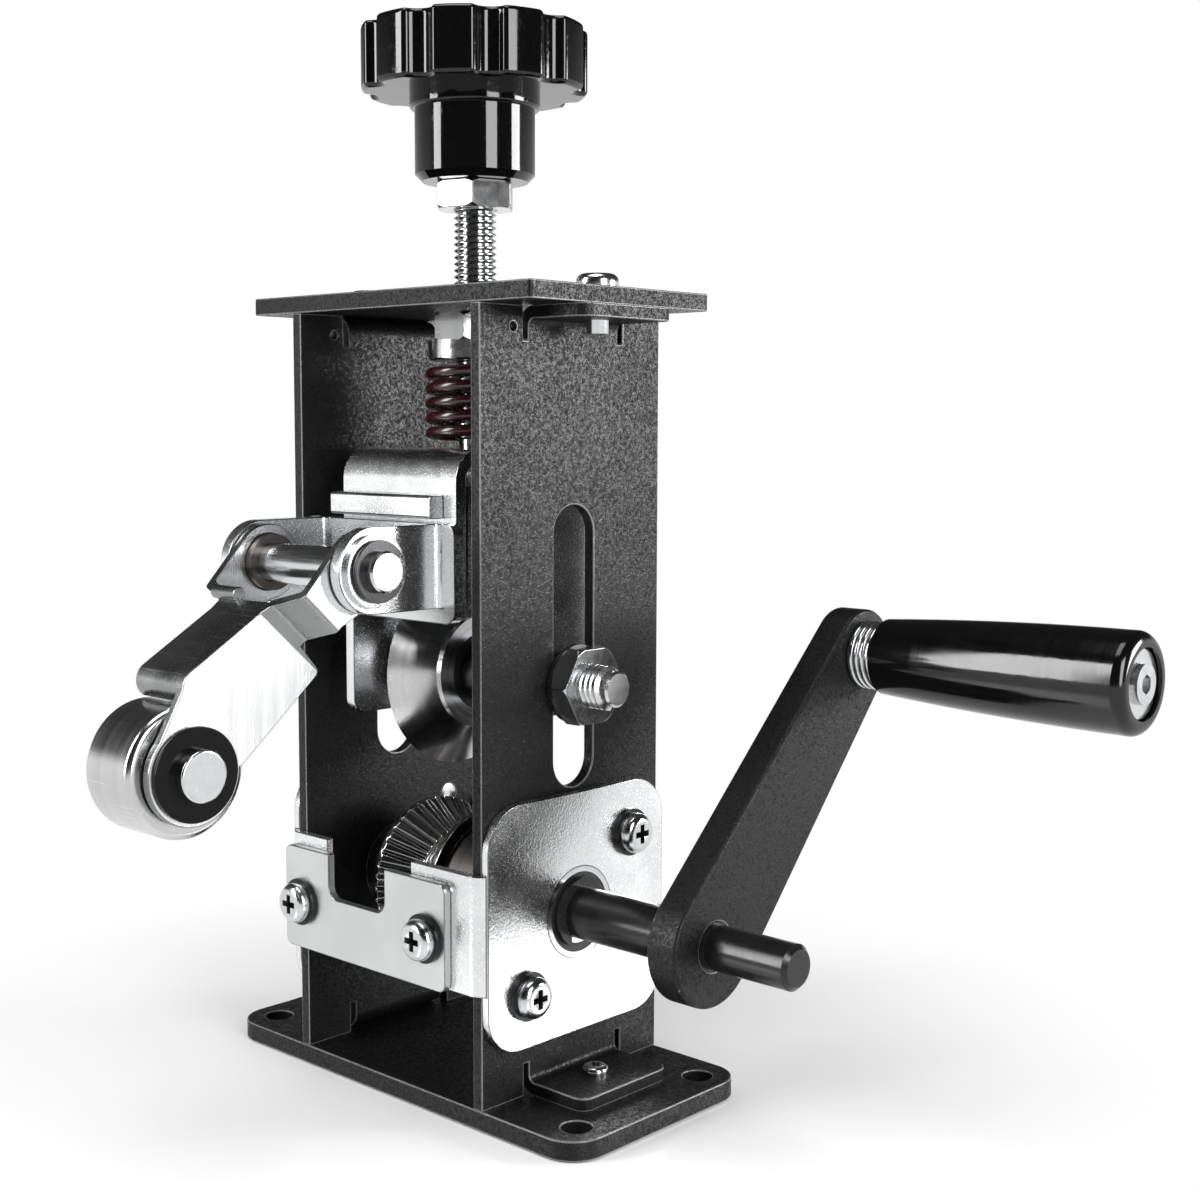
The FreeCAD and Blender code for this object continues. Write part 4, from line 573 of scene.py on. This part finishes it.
# Colour, roughness from and to, grain scale, grain depth in mm, tint of the specks, tint of the clouds, more.
GRAINED = {
    "powder": ("powder", (0.22, 0.26), 2400.0, 0.13, 1.5, 0.9, {"hollow_rough": 0.5, "specular": 0.26}),
    # Edge finish lighter and shinier than the powder, a painted highlight along the plates' edges.
    "powder_edge": ("powder_edge", (0.24, 0.32), 2300.0, 0.012, 1.5, 0.7, {"specular": 0.6}),
    "zinc": ("zinc", (0.20, 0.24), 2400.0, 0.012, 1.1, 0.94, {"metallic": 1.0}),
    "bracket": ("zinc", (0.22, 0.27), 1800.0, 0.075, 1.15, 0.90, {"metallic": 1.0}),
    "satin": ("satin", (0.36, 0.40), 3000.0, 0.010, 1.1, 0.96, {"metallic": 1.0}),
    # Darker satin for the swing arm's web and bends, a painted shade.
    "folded": ("folded", (0.24, 0.30), 2600.0, 0.006, 1.1, 0.9, {"metallic": 1.0}),
    "washer": ("dark", (0.26, 0.34), 3200.0, 0.008, 1.6, 0.8, {"metallic": 0.6}),
    # Dark finish for the inside of the screws' cross recesses, a painted shade in the recess.
    "recess": ("dark", (0.40, 0.50), 3200.0, 0.008, 1.6, 0.8, {"metallic": 0.8}),
    "dark": ("dark", (0.22, 0.28), 3200.0, 0.008, 1.6, 0.8, {"metallic": 0.3}),
    "shield": ("shield", (0.34, 0.42), 3000.0, 0.008, 1.6, 0.8, {}),
    "spring": ("spring", (0.20, 0.30), 1500.0, 0.006, 1.6, 0.55, {"coat": 0.3, "coat_roughness": 0.12}),
    "plastic": ("plastic", (0.05, 0.08), 900.0, 0.001, 1.3, 0.95, {}),
    "bronze": ("bronze", (0.32, 0.44), 3000.0, 0.015, 0.5, 0.85, {"metallic": 1.0}),
    "nylon": ("nylon", (0.08, 0.12), 2600.0, 0.001, 1.5, 0.85, {"specular": 0.12}),
}
# Colour, roughness from and to, squeeze of the lines on each axis, line depth in mm, tint between, more.
RUBBED = {
    # Edge finish darker than the plated faces, painted shade that draws dark outlines along the edges.
    "zinc_edge": ("sheared", (0.16, 0.22), ACROSS_X, 0.001, 0.95, {}),
    "arm": ("zinc", (0.20, 0.25), ALONG_ARM, 0.003, 0.90, {"turn": ARM_SLANT}),
    "bright": ("bright", (0.14, 0.18), ACROSS_X, 0.001, 0.94, {"grain_depth": 0.001}),
    "thread": ("thread", (0.10, 0.15), UPRIGHT, 0.001, 0.90, {}),
    "axle": ("axle", (0.16, 0.22), ACROSS_Y, 0.001, 0.90, {"grain_depth": 0.002}),
}
# Colour, roughness from and to, node turned about its middle, ring depth in mm, tint between rings, more.
TURNED = {
    "blade": ("blade", (0.14, 0.17), "cutter_disc", 0.002, 0.88, {}),
    "guide_roller": ("blade", (0.16, 0.20), "guide_roller", 0.002, 0.92, {}),
    "roller": ("roller", (0.26, 0.32), "drive_shaft", 0.004, 0.75, {}),
    # Bright steel for the teeth's rounded edges, a painted highlight on the dark roller.
    "roller_edge": ("blade", (0.16, 0.22), "drive_shaft", 0.001, 0.9, {}),
    "shaft": ("shaft", (0.18, 0.22), "drive_shaft", 0.002, 0.72, {"metallic": 0.2}),
    "bearing": ("bearing", (0.14, 0.20), "drive_shaft", 0.001, 0.9, {}),
    "cutter_bearing": ("bearing", (0.14, 0.20), "cutter_disc", 0.001, 0.9, {}),
    "grip": ("plastic", (0.08, 0.11), "handle_grip", 0.0006, 0.9, {"ring_scale": 1400.0, "metallic": 0.0}),
}
MADE = {}


def material_for(name):
    """Makes the finish the first time it is asked for."""
    if name not in MADE:
        for maker, table in ((grained, GRAINED), (rubbed, RUBBED), (turned, TURNED)):
            if name in table:
                colour_name, *values, more = table[name]
                base = getattr(bpy.context.scene.stripper_colours, colour_name)
                MADE[name] = maker(name, base, *values, **more)
    return MADE[name]


CARRIED_OVER = {
    "captive_nut": "thread", "spring_seat": "bright", "spring": "spring", "screw_washers": "washer",
    "shaft_bearing_outer_races": "bearing", "shaft_bearing_inner_races": "bearing",
    "shaft_bearing_balls": "bearing", "shaft_bearing_shields": "shield",
    "pivot_pin": "bright", "pivot_washers": "bright",
    "axle_washers": "dark", "axle_spacers": "roller",
    "cutter_disc": "blade", "cutter_bearing_outer_races": "cutter_bearing",
    "cutter_bearing_inner_races": "cutter_bearing", "cutter_bearing_balls": "cutter_bearing",
    "cutter_bearing_shields": "shield",
    "arm_eye_bushes": "roller", "roller_pin_clip": "dark",
    "guide_roller": "guide_roller", "guide_roller_bush": "bronze",
    "knob": "plastic", "knob_insert": "thread",
    "drive_shaft": "shaft", "shaft_retaining_rings": "dark",
    "roller_clamp_screws": "dark", "shaft_grub_screws": "dark",
    "handle_spindle": "bright", "spindle_nut": "bright", "ferrule_rings": "bright",
    "handle_end_washer": "bright", "handle_grip": "grip",
}


# ------------------------------------------------------------------ operators
def round_nodes(context, nodes, radius_name, *finishes):
    radius = getattr(context.scene.stripper_sizes, radius_name)
    for node in nodes:
        rounded_copy(node, radius, [material_for(name) for name in finishes])


class STRIPPER_OT_plates(bpy.types.Operator):
    """Base, side plates, lid and crank arm with rounded edges in a lighter coat, a painted highlight"""
    bl_idname = "stripper.plates"
    bl_label = "Powder coated plates"

    def execute(self, context):
        plates = ("base_plate", "side_plate_left", "side_plate_right", "top_plate", "crank_arm")
        round_nodes(context, plates, "plate_edge", "powder", "powder_edge")
        return {"FINISHED"}


class STRIPPER_OT_brackets(bpy.types.Operator):
    """Bearing brackets and guide plates with rounded edges"""
    bl_idname = "stripper.brackets"
    bl_label = "Brackets and guide plates"

    def execute(self, context):
        brackets = ("bearing_bracket_left", "bearing_bracket_right")
        round_nodes(context, brackets, "sheet_edge", "bracket", "zinc_edge")
        guides = ("guide_plate_front", "guide_plate_back")
        round_nodes(context, guides, "sheet_edge", "satin", "zinc_edge")
        return {"FINISHED"}


class STRIPPER_OT_carriage(bpy.types.Operator):
    """Saddle, fork, stop block and clevis with rounded edges"""
    bl_idname = "stripper.carriage"
    bl_label = "Carriage sheets"

    def execute(self, context):
        round_nodes(context, ("saddle", "fork", "clevis"), "sheet_edge", "zinc", "zinc_edge")
        round_nodes(context, ("stop_block",), "sheet_edge", "bracket", "zinc_edge")
        return {"FINISHED"}


class STRIPPER_OT_arm(bpy.types.Operator):
    """Swing arm with lines rubbed along it, its web and bends in a darker satin as painted shade, and its
    small pieces, all with rounded edges
    """
    bl_idname = "stripper.arm"
    bl_label = "Swing arm"

    def execute(self, context):
        sizes = context.scene.stripper_sizes
        arm = rounded_copy("swing_arm", sizes.sheet_edge,
                           [material_for("arm"), material_for("zinc_edge"), material_for("folded")])
        # Faces other than the two broad sides take the darker satin, a painted shade on the web and bends.
        for face in arm.data.polygons:
            if face.material_index == 0 and abs(face.normal.x) < BROAD_SIDE:
                face.material_index = 2
        for node, name in (("roller_washer", "nylon"), ("roller_pin", "bright"), ("pivot_clips", "dark")):
            round_nodes(context, (node,), "small_edge", name, name)
        return {"FINISHED"}


class STRIPPER_OT_nuts(bpy.types.Operator):
    """Jam nut, lock nut and axle nuts with rounded corners in a darker finish, painted dark outlines"""
    bl_idname = "stripper.nuts"
    bl_label = "Nuts"

    def execute(self, context):
        round_nodes(context, ("jam_nut", "lock_nut", "axle_nuts"), "small_edge", "bright", "zinc_edge")
        return {"FINISHED"}


class STRIPPER_OT_rollers(bpy.types.Operator):
    """Toothed halves of the grooved roller with the teeth's rounded edges in bright steel, a painted
    highlight
    """
    bl_idname = "stripper.rollers"
    bl_label = "Drive roller"

    def execute(self, context):
        halves = ("drive_roller_left", "drive_roller_right")
        round_nodes(context, halves, "tooth_edge", "roller", "roller_edge")
        return {"FINISHED"}


def recess_wing(sizes, turned_over):
    """Tapered bar that cuts one line of a cross recess."""
    along = sizes.recess_length
    across = sizes.recess_width
    size = (across, along) if turned_over else (along, across)
    top = sizes.head_height + sizes.recess_width
    low = sizes.head_height - sizes.recess_depth
    pick_nothing()
    bpy.ops.mesh.primitive_cube_add(size=1.0, location=(0, 0, (top + low) / 2))
    wing = bpy.context.object
    wing.scale = (*size, top - low)
    bpy.ops.object.transform_apply(location=True, rotation=True, scale=True)
    pick_faces(wing, lambda face: face.normal.z < -FACING)
    bpy.ops.transform.resize(value=(sizes.recess_taper, sizes.recess_taper, 1.0))
    leave_edit()
    return wing


def model_pan_screw(sizes, shank):
    """Pan head with a cross recess, standing on Z = 0 with its shank below."""
    pick_nothing()
    bpy.ops.mesh.primitive_cylinder_add(vertices=HEAD_SIDES, radius=sizes.head_radius,
                                        depth=sizes.head_height, location=(0, 0, sizes.head_height / 2))
    screw = bpy.context.object
    bpy.ops.object.transform_apply(location=True, rotation=True, scale=True)
    top = sizes.head_height - NEAR
    pick_edges(screw, lambda a, b: a.z > top and b.z > top)
    bpy.ops.mesh.bevel(offset=sizes.head_round, segments=HEAD_STEPS, profile=0.5, affect="EDGES")
    leave_edit()
    pick_faces(screw, lambda face: face.normal.z < -FACING)
    bpy.ops.mesh.inset(thickness=sizes.head_radius - sizes.shank_radius)
    bpy.ops.mesh.extrude_region_move(TRANSFORM_OT_translate={"value": (0, 0, -shank)})
    leave_edit()
    for turned_over in (False, True):
        wing = recess_wing(sizes, turned_over)
        cut = screw.modifiers.new("recess", "BOOLEAN")
        cut.operation = "DIFFERENCE"
        cut.solver = "EXACT"
        cut.object = wing
        keep_modifier(screw, cut)
        bpy.data.objects.remove(wing)
    rim = screw.modifiers.new("rim", "BEVEL")
    rim.width = sizes.rim_edge
    rim.segments = ROUNDING_STEPS
    rim.limit_method = "ANGLE"
    rim.angle_limit = RIM_TURN
    keep_modifier(screw, rim)
    bpy.ops.object.shade_smooth_by_angle(angle=SCREW_SMOOTH)
    screw.data.materials.append(material_for("bright"))
    screw.data.materials.append(material_for("recess"))
    # The faces inside the cross recess take the dark finish, a painted shade in the recess.
    for face in screw.data.polygons:
        across = math.hypot(face.center.x, face.center.y)
        if across < sizes.recess_length / 2 and 0.0 < face.center.z < top:
            face.material_index = 1
    return screw


def screw_set(node, pattern, places):
    """One piece of copies of a screw; each place is its seat and the direction its head faces."""
    copies = []
    for seat, facing in places:
        copy = bpy.data.objects.new(node + "_one", pattern.data.copy())
        bpy.context.scene.collection.objects.link(copy)
        turn = Vector((0, 0, 1)).rotation_difference(Vector(facing)).to_matrix().to_4x4()
        copy.data.transform(Matrix.Translation(seat) @ turn)
        copies.append(copy)
    piece = join_pieces(copies, node + "_cross_head")
    bpy.data.objects.remove(pattern)
    return settle(piece, node)


class STRIPPER_OT_screws(bpy.types.Operator):
    """Pan screws with cross recesses in the feet, the lid, the brackets and the guide plates"""
    bl_idname = "stripper.screws"
    bl_label = "Pan screws"

    def execute(self, context):
        sizes = context.scene.stripper_sizes
        edge = sizes.head_radius
        high = sizes.head_height
        for node, scale in (("foot_screws", sizes.foot_scale), ("top_plate_screws", 1.0)):
            low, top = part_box(node)
            seat_z = top.z - high * scale
            screw = model_pan_screw(sizes, (seat_z - low.z) / scale)
            screw.data.transform(Matrix.Scale(scale, 4))
            places = [((x, 0, seat_z), (0, 0, 1)) for x in (low.x + edge * scale, top.x - edge * scale)]
            screw_set(node, screw, places)
        low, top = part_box("bracket_screws")
        places = []
        for x, facing in ((low.x + high, -1), (top.x - high, 1)):
            for y, z in ((low.y + edge, low.z + edge), (top.y - edge, top.z - edge)):
                places.append(((x, y, z), (facing, 0, 0)))
        screw_set("bracket_screws", model_pan_screw(sizes, sizes.bracket_screw), places)
        low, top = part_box("guide_plate_screws")
        places = []
        for y, facing in ((low.y + high, -1), (top.y - high, 1)):
            for x in (low.x + edge, top.x - edge):
                places.append(((x, y, (low.z + top.z) / 2), (0, facing, 0)))
        screw_set("guide_plate_screws", model_pan_screw(sizes, sizes.guide_screw), places)
        return {"FINISHED"}


def wound_thread(sizes, crest, low, high):
    """Ridge wound round the Z axis from low to high, its foot sunk in the core it belongs to."""
    pitch = sizes.thread_pitch
    root = crest - sizes.thread_depth
    sunk = root - CLEAR
    pick_nothing()
    bpy.ops.mesh.primitive_plane_add(size=1.0, location=(0, 0, 0))
    ridge = bpy.context.object
    corners = ((sunk, -THREAD_FOOT), (sunk, THREAD_FOOT), (crest, THREAD_CREST), (crest, -THREAD_CREST))
    outline = sorted(ridge.data.vertices, key=lambda point: math.atan2(point.co.y, point.co.x))
    for point, (radius, share_of_pitch) in zip(outline, corners):
        point.co = (radius, 0.0, low + (0.5 + share_of_pitch) * pitch)
    work_on(ridge)
    enter_edit()
    bpy.ops.mesh.select_all(action="SELECT")
    bpy.ops.mesh.delete(type="ONLY_FACE")
    leave_edit()
    winding = ridge.modifiers.new("winding", "SCREW")
    winding.axis = "Z"
    winding.screw_offset = pitch
    winding.steps = THREAD_STEPS
    winding.render_steps = THREAD_STEPS
    winding.iterations = max(1, int((high - low - pitch) / pitch))
    winding.use_smooth_shade = True
    keep_modifier(ridge, winding)
    enter_edit()
    bpy.ops.mesh.select_mode(type="EDGE")
    bpy.ops.mesh.select_all(action="DESELECT")
    bpy.ops.mesh.select_non_manifold(extend=False, use_wire=False, use_boundary=True,
                                     use_multi_face=False, use_non_contiguous=False, use_verts=False)
    bpy.ops.mesh.edge_face_add()
    bpy.ops.mesh.select_all(action="SELECT")
    bpy.ops.mesh.normals_make_consistent(inside=False)
    leave_edit()
    return ridge


def round_bar(radius, low, high, chamfer):
    """Round bar standing on the Z axis with both ends turned down."""
    pick_nothing()
    bpy.ops.mesh.primitive_cylinder_add(vertices=BAR_SIDES, radius=radius, depth=high - low,
                                        location=(0, 0, (low + high) / 2))
    bar = bpy.context.object
    bpy.ops.object.transform_apply(location=True, rotation=True, scale=True)
    pick_edges(bar, lambda a, b: abs(a.z - b.z) < NEAR)
    bpy.ops.mesh.bevel(offset=chamfer, segments=1, affect="EDGES")
    leave_edit()
    return bar


def threaded_rod(pieces, node):
    rod = join_pieces(pieces, node + "_wound")
    bpy.ops.object.shade_smooth_by_angle(angle=THREAD_SMOOTH)
    return rod


class STRIPPER_OT_threads(bpy.types.Operator):
    """Adjusting screw and blade axle with wound threads"""
    bl_idname = "stripper.threads"
    bl_label = "Threads"

    def execute(self, context):
        sizes = context.scene.stripper_sizes
        self.adjusting_screw(sizes)
        self.blade_axle(sizes)
        return {"FINISHED"}

    def adjusting_screw(self, sizes):
        node = "adjusting_screw"
        low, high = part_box(node)
        crest = high.x
        core = crest - sizes.thread_depth
        points = [(math.hypot(point.co.x, point.co.y), point.co.z)
                  for point in frame["nodes"][node].data.vertices]
        shoulder = min(z for radius, z in points if radius > core + CLEAR)
        tail_r = max(radius for radius, z in points if z < shoulder - sizes.thread_depth)
        pieces = [
            round_bar(core, shoulder, high.z, sizes.screw_chamfer),
            round_bar(tail_r, low.z, shoulder + sizes.thread_depth, sizes.screw_chamfer),
            wound_thread(sizes, crest, shoulder, high.z - sizes.thread_runout),
        ]
        settle(threaded_rod(pieces, node), node, material_for("thread"))

    def blade_axle(self, sizes):
        node = "blade_axle"
        low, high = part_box(node)
        crest = (high.z - low.z) / 2
        core = crest - sizes.thread_depth
        plain = min(abs(point.co.x) for point in frame["nodes"][node].data.vertices)
        plain = max(plain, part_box("side_plate_right")[0].x - sizes.thread_pitch)
        pieces = [round_bar(crest, -plain, plain, sizes.shoulder_chamfer),
                  round_bar(core, low.x, high.x, sizes.axle_chamfer)]
        for turned_over in (False, True):
            ridge = wound_thread(sizes, crest, plain - sizes.thread_pitch, high.x - sizes.thread_runout)
            if turned_over:
                ridge.data.transform(Matrix.Rotation(math.pi, 4, "X"))
            pieces.append(ridge)
        axle = threaded_rod(pieces, node)
        raised = Matrix.Translation((0, 0, (low.z + high.z) / 2))
        axle.data.transform(raised @ Matrix.Rotation(math.pi / 2, 4, "Y"))
        settle(axle, node, material_for("axle"))


class STRIPPER_OT_finishes(bpy.types.Operator):
    """Finishes for the turned, moulded and threaded pieces that keep their own shape"""
    bl_idname = "stripper.finishes"
    bl_label = "Finishes"

    def execute(self, context):
        for node, name in CARRIED_OVER.items():
            piece = frame["nodes"][node]
            piece.data.materials.clear()
            piece.data.materials.append(material_for(name))
        return {"FINISHED"}


# Name, place and size of each lamp, in metres.
LAMPS = (
    ("left lamp", (-0.40, -0.72, 0.42), (0.24, 0.70)),
    ("right lamp", (0.95, -0.20, 0.40), (0.36, 0.70)),
    ("side lamp", (0.72, 0.62, 0.25), (0.34, 0.34)),
    ("top lamp", (0.00, -0.10, 0.95), (0.50, 0.50)),
)
FLOOR_SIZE = 6.0  # metres
FLOOR_SPECULAR = 0.8
FLOOR_CLOUDS = 9.0
FLOOR_TINT = 0.985
FLOOR_ROUGH = (0.16, 0.21)
OVERHEAD_RANGE = (0.03, 0.26)  # upward share of a mirrored ray over which the room darkens
OVERHEAD_LEVEL = 0.04
DIM_RANGE = (-0.10, 0.28)  # the same for a ray's share towards the camera's side
SENSOR_WIDTH = 36.0  # millimetres
CLIP_START = 0.01


class STRIPPER_OT_stage(bpy.types.Operator):
    """Pale floor, soft lamps, plain world and the camera"""
    bl_idname = "stripper.stage"
    bl_label = "Stage"

    def execute(self, context):
        stage = context.scene.stripper_stage
        self.make_floor(stage, context.scene.stripper_colours)
        self.make_world(stage)
        self.make_lamps(stage)
        self.make_camera(context, stage)
        context.scene.view_settings.view_transform = "Standard"
        return {"FINISHED"}

    def make_floor(self, stage, paint):
        pick_nothing()
        bpy.ops.mesh.primitive_plane_add(size=FLOOR_SIZE, location=(0, 0, -stage.floor_drop))
        floor = bpy.context.object
        floor.name = "floor"
        bpy.ops.object.transform_apply(location=True, rotation=True, scale=True)
        finish = Finish("floor", specular=FLOOR_SPECULAR)
        tree = finish.tree
        soft = noise(tree, finish.place, FLOOR_CLOUDS, 2.0, 0.5)
        shade = finish.blend(soft, tint(paint.floor, FLOOR_TINT), tuple(paint.floor))
        tree.links.new(shade, finish.shader.inputs["Base Color"])
        tree.links.new(spread(tree, soft, 0.0, 1.0, *FLOOR_ROUGH), finish.shader.inputs["Roughness"])
        white = tree.nodes.new("ShaderNodeEmission")
        distance = tree.nodes.new("ShaderNodeVectorMath")
        distance.operation = "LENGTH"
        tree.links.new(finish.place, distance.inputs[0])
        fade = spread(tree, distance.outputs["Value"], stage.floor_fade_start, stage.floor_fade_end)
        rays = tree.nodes.new("ShaderNodeLightPath")
        seen = sums(tree, "MAXIMUM", rays.outputs["Is Camera Ray"], rays.outputs["Is Glossy Ray"])
        seen = sums(tree, "MAXIMUM", seen, rays.outputs["Is Transmission Ray"])
        mix = tree.nodes.new("ShaderNodeMixShader")
        tree.links.new(sums(tree, "MULTIPLY", fade, seen), mix.inputs["Fac"])
        tree.links.new(finish.shader.outputs["BSDF"], mix.inputs[1])
        tree.links.new(white.outputs["Emission"], mix.inputs[2])
        output = next(node for node in tree.nodes if node.type == "OUTPUT_MATERIAL")
        tree.links.new(mix.outputs["Shader"], output.inputs["Surface"])
        floor.data.materials.append(finish.material)

    def make_world(self, stage):
        """White where it is seen, dark overhead and behind the camera in mirrors, plain for the rest."""
        world = bpy.data.worlds.new("plain room")
        bpy.context.scene.world = world
        world.use_nodes = True
        tree = world.node_tree
        tree.nodes.clear()
        output = tree.nodes.new("ShaderNodeOutputWorld")
        rays = tree.nodes.new("ShaderNodeLightPath")
        direction = tree.nodes.new("ShaderNodeTexCoord")
        split = tree.nodes.new("ShaderNodeSeparateXYZ")
        tree.links.new(direction.outputs["Generated"], split.inputs["Vector"])
        mirrored = spread(tree, split.outputs["Z"], *OVERHEAD_RANGE, 1.0, OVERHEAD_LEVEL)
        turn = stage.view_azimuth
        towards = tree.nodes.new("ShaderNodeVectorMath")
        towards.operation = "DOT_PRODUCT"
        towards.inputs[1].default_value = (math.sin(turn), -math.cos(turn), 0.0)
        tree.links.new(direction.outputs["Generated"], towards.inputs[0])
        dim = spread(tree, towards.outputs["Value"], *DIM_RANGE, 1.0, stage.dim_side)
        mirrored = sums(tree, "MULTIPLY", mirrored, dim)
        room = tree.nodes.new("ShaderNodeMix")
        room.data_type = "FLOAT"
        room.inputs[2].default_value = stage.room_light
        tree.links.new(rays.outputs["Is Glossy Ray"], room.inputs[0])
        tree.links.new(mirrored, room.inputs[3])
        level = tree.nodes.new("ShaderNodeMix")
        level.data_type = "FLOAT"
        level.inputs[3].default_value = 1.0
        seen = sums(tree, "MAXIMUM", rays.outputs["Is Camera Ray"], rays.outputs["Is Transmission Ray"])
        tree.links.new(seen, level.inputs[0])
        tree.links.new(room.outputs[0], level.inputs[2])
        background = tree.nodes.new("ShaderNodeBackground")
        background.inputs["Color"].default_value = (1.0, 1.0, 1.0, 1.0)
        tree.links.new(level.outputs[0], background.inputs["Strength"])
        tree.links.new(background.outputs["Background"], output.inputs["Surface"])

    def make_lamps(self, stage):
        aim = Vector((0.0, 0.0, stage.aim_height))
        powers = (stage.left_power, stage.right_power, stage.side_power, stage.top_power)
        for (name, place, size), watts in zip(LAMPS, powers):
            light = bpy.data.lights.new(name, "AREA")
            light.shape = "RECTANGLE"
            light.size, light.size_y = size
            light.energy = watts
            lamp = bpy.data.objects.new(name, light)
            lamp.location = place
            lamp.rotation_euler = (aim - Vector(place)).to_track_quat("-Z", "Y").to_euler()
            lamp.visible_camera = False
            bpy.context.scene.collection.objects.link(lamp)

    def make_camera(self, context, stage):
        turn = stage.view_azimuth
        rise = stage.view_elevation
        back = Vector((math.sin(turn) * math.cos(rise), -math.cos(turn) * math.cos(rise), math.sin(rise)))
        right = Vector((math.cos(turn), math.sin(turn), 0.0))
        up = back.cross(right)
        target = right * stage.aim_right + Vector((0, 0, stage.aim_height))
        roll = stage.view_roll
        across = right * math.cos(roll) + up * math.sin(roll)
        upward = up * math.cos(roll) - right * math.sin(roll)
        camera = bpy.data.objects.new("camera", bpy.data.cameras.new("camera"))
        camera.data.lens = stage.lens
        camera.data.sensor_width = SENSOR_WIDTH
        camera.data.clip_start = CLIP_START
        axes = Matrix((across, upward, back)).transposed().to_4x4()
        camera.matrix_world = Matrix.Translation(target + back * stage.view_distance) @ axes
        context.scene.collection.objects.link(camera)
        context.scene.camera = camera


OPERATORS = (
    STRIPPER_OT_plates, STRIPPER_OT_brackets, STRIPPER_OT_carriage, STRIPPER_OT_arm, STRIPPER_OT_nuts,
    STRIPPER_OT_rollers, STRIPPER_OT_screws, STRIPPER_OT_threads, STRIPPER_OT_finishes, STRIPPER_OT_stage,
)


class STRIPPER_PT_panel(bpy.types.Panel):
    """Steps that dress the wire stripper, in order"""
    bl_idname = "STRIPPER_PT_panel"
    bl_label = "Wire Stripper"
    bl_space_type = "VIEW_3D"
    bl_region_type = "UI"
    bl_category = "Wire Stripper"

    def draw(self, context):
        for operator in OPERATORS:
            self.layout.operator(operator.bl_idname)
        for settings in ("stripper_sizes", "stripper_colours", "stripper_stage"):
            group = getattr(context.scene, settings)
            column = self.layout.column()
            for label in group.__annotations__:
                column.prop(group, label)


SETTINGS = (
    ("stripper_sizes", StripperSizes), ("stripper_colours", StripperColours),
    ("stripper_stage", StripperStage),
)


def register():
    for name, group in SETTINGS:
        bpy.utils.register_class(group)
        setattr(bpy.types.Scene, name, bpy.props.PointerProperty(type=group))
    for operator in OPERATORS:
        bpy.utils.register_class(operator)
    bpy.utils.register_class(STRIPPER_PT_panel)


def unregister():
    bpy.utils.unregister_class(STRIPPER_PT_panel)
    for operator in reversed(OPERATORS):
        bpy.utils.unregister_class(operator)
    for name, group in reversed(SETTINGS):
        delattr(bpy.types.Scene, name)
        bpy.utils.unregister_class(group)


def main():
    register()
    bpy.ops.stripper.plates()
    bpy.ops.stripper.brackets()
    bpy.ops.stripper.carriage()
    bpy.ops.stripper.arm()
    bpy.ops.stripper.nuts()
    bpy.ops.stripper.rollers()
    bpy.ops.stripper.screws()
    bpy.ops.stripper.threads()
    bpy.ops.stripper.finishes()
    bpy.ops.stripper.stage()


if __name__ == "__main__":
    main()
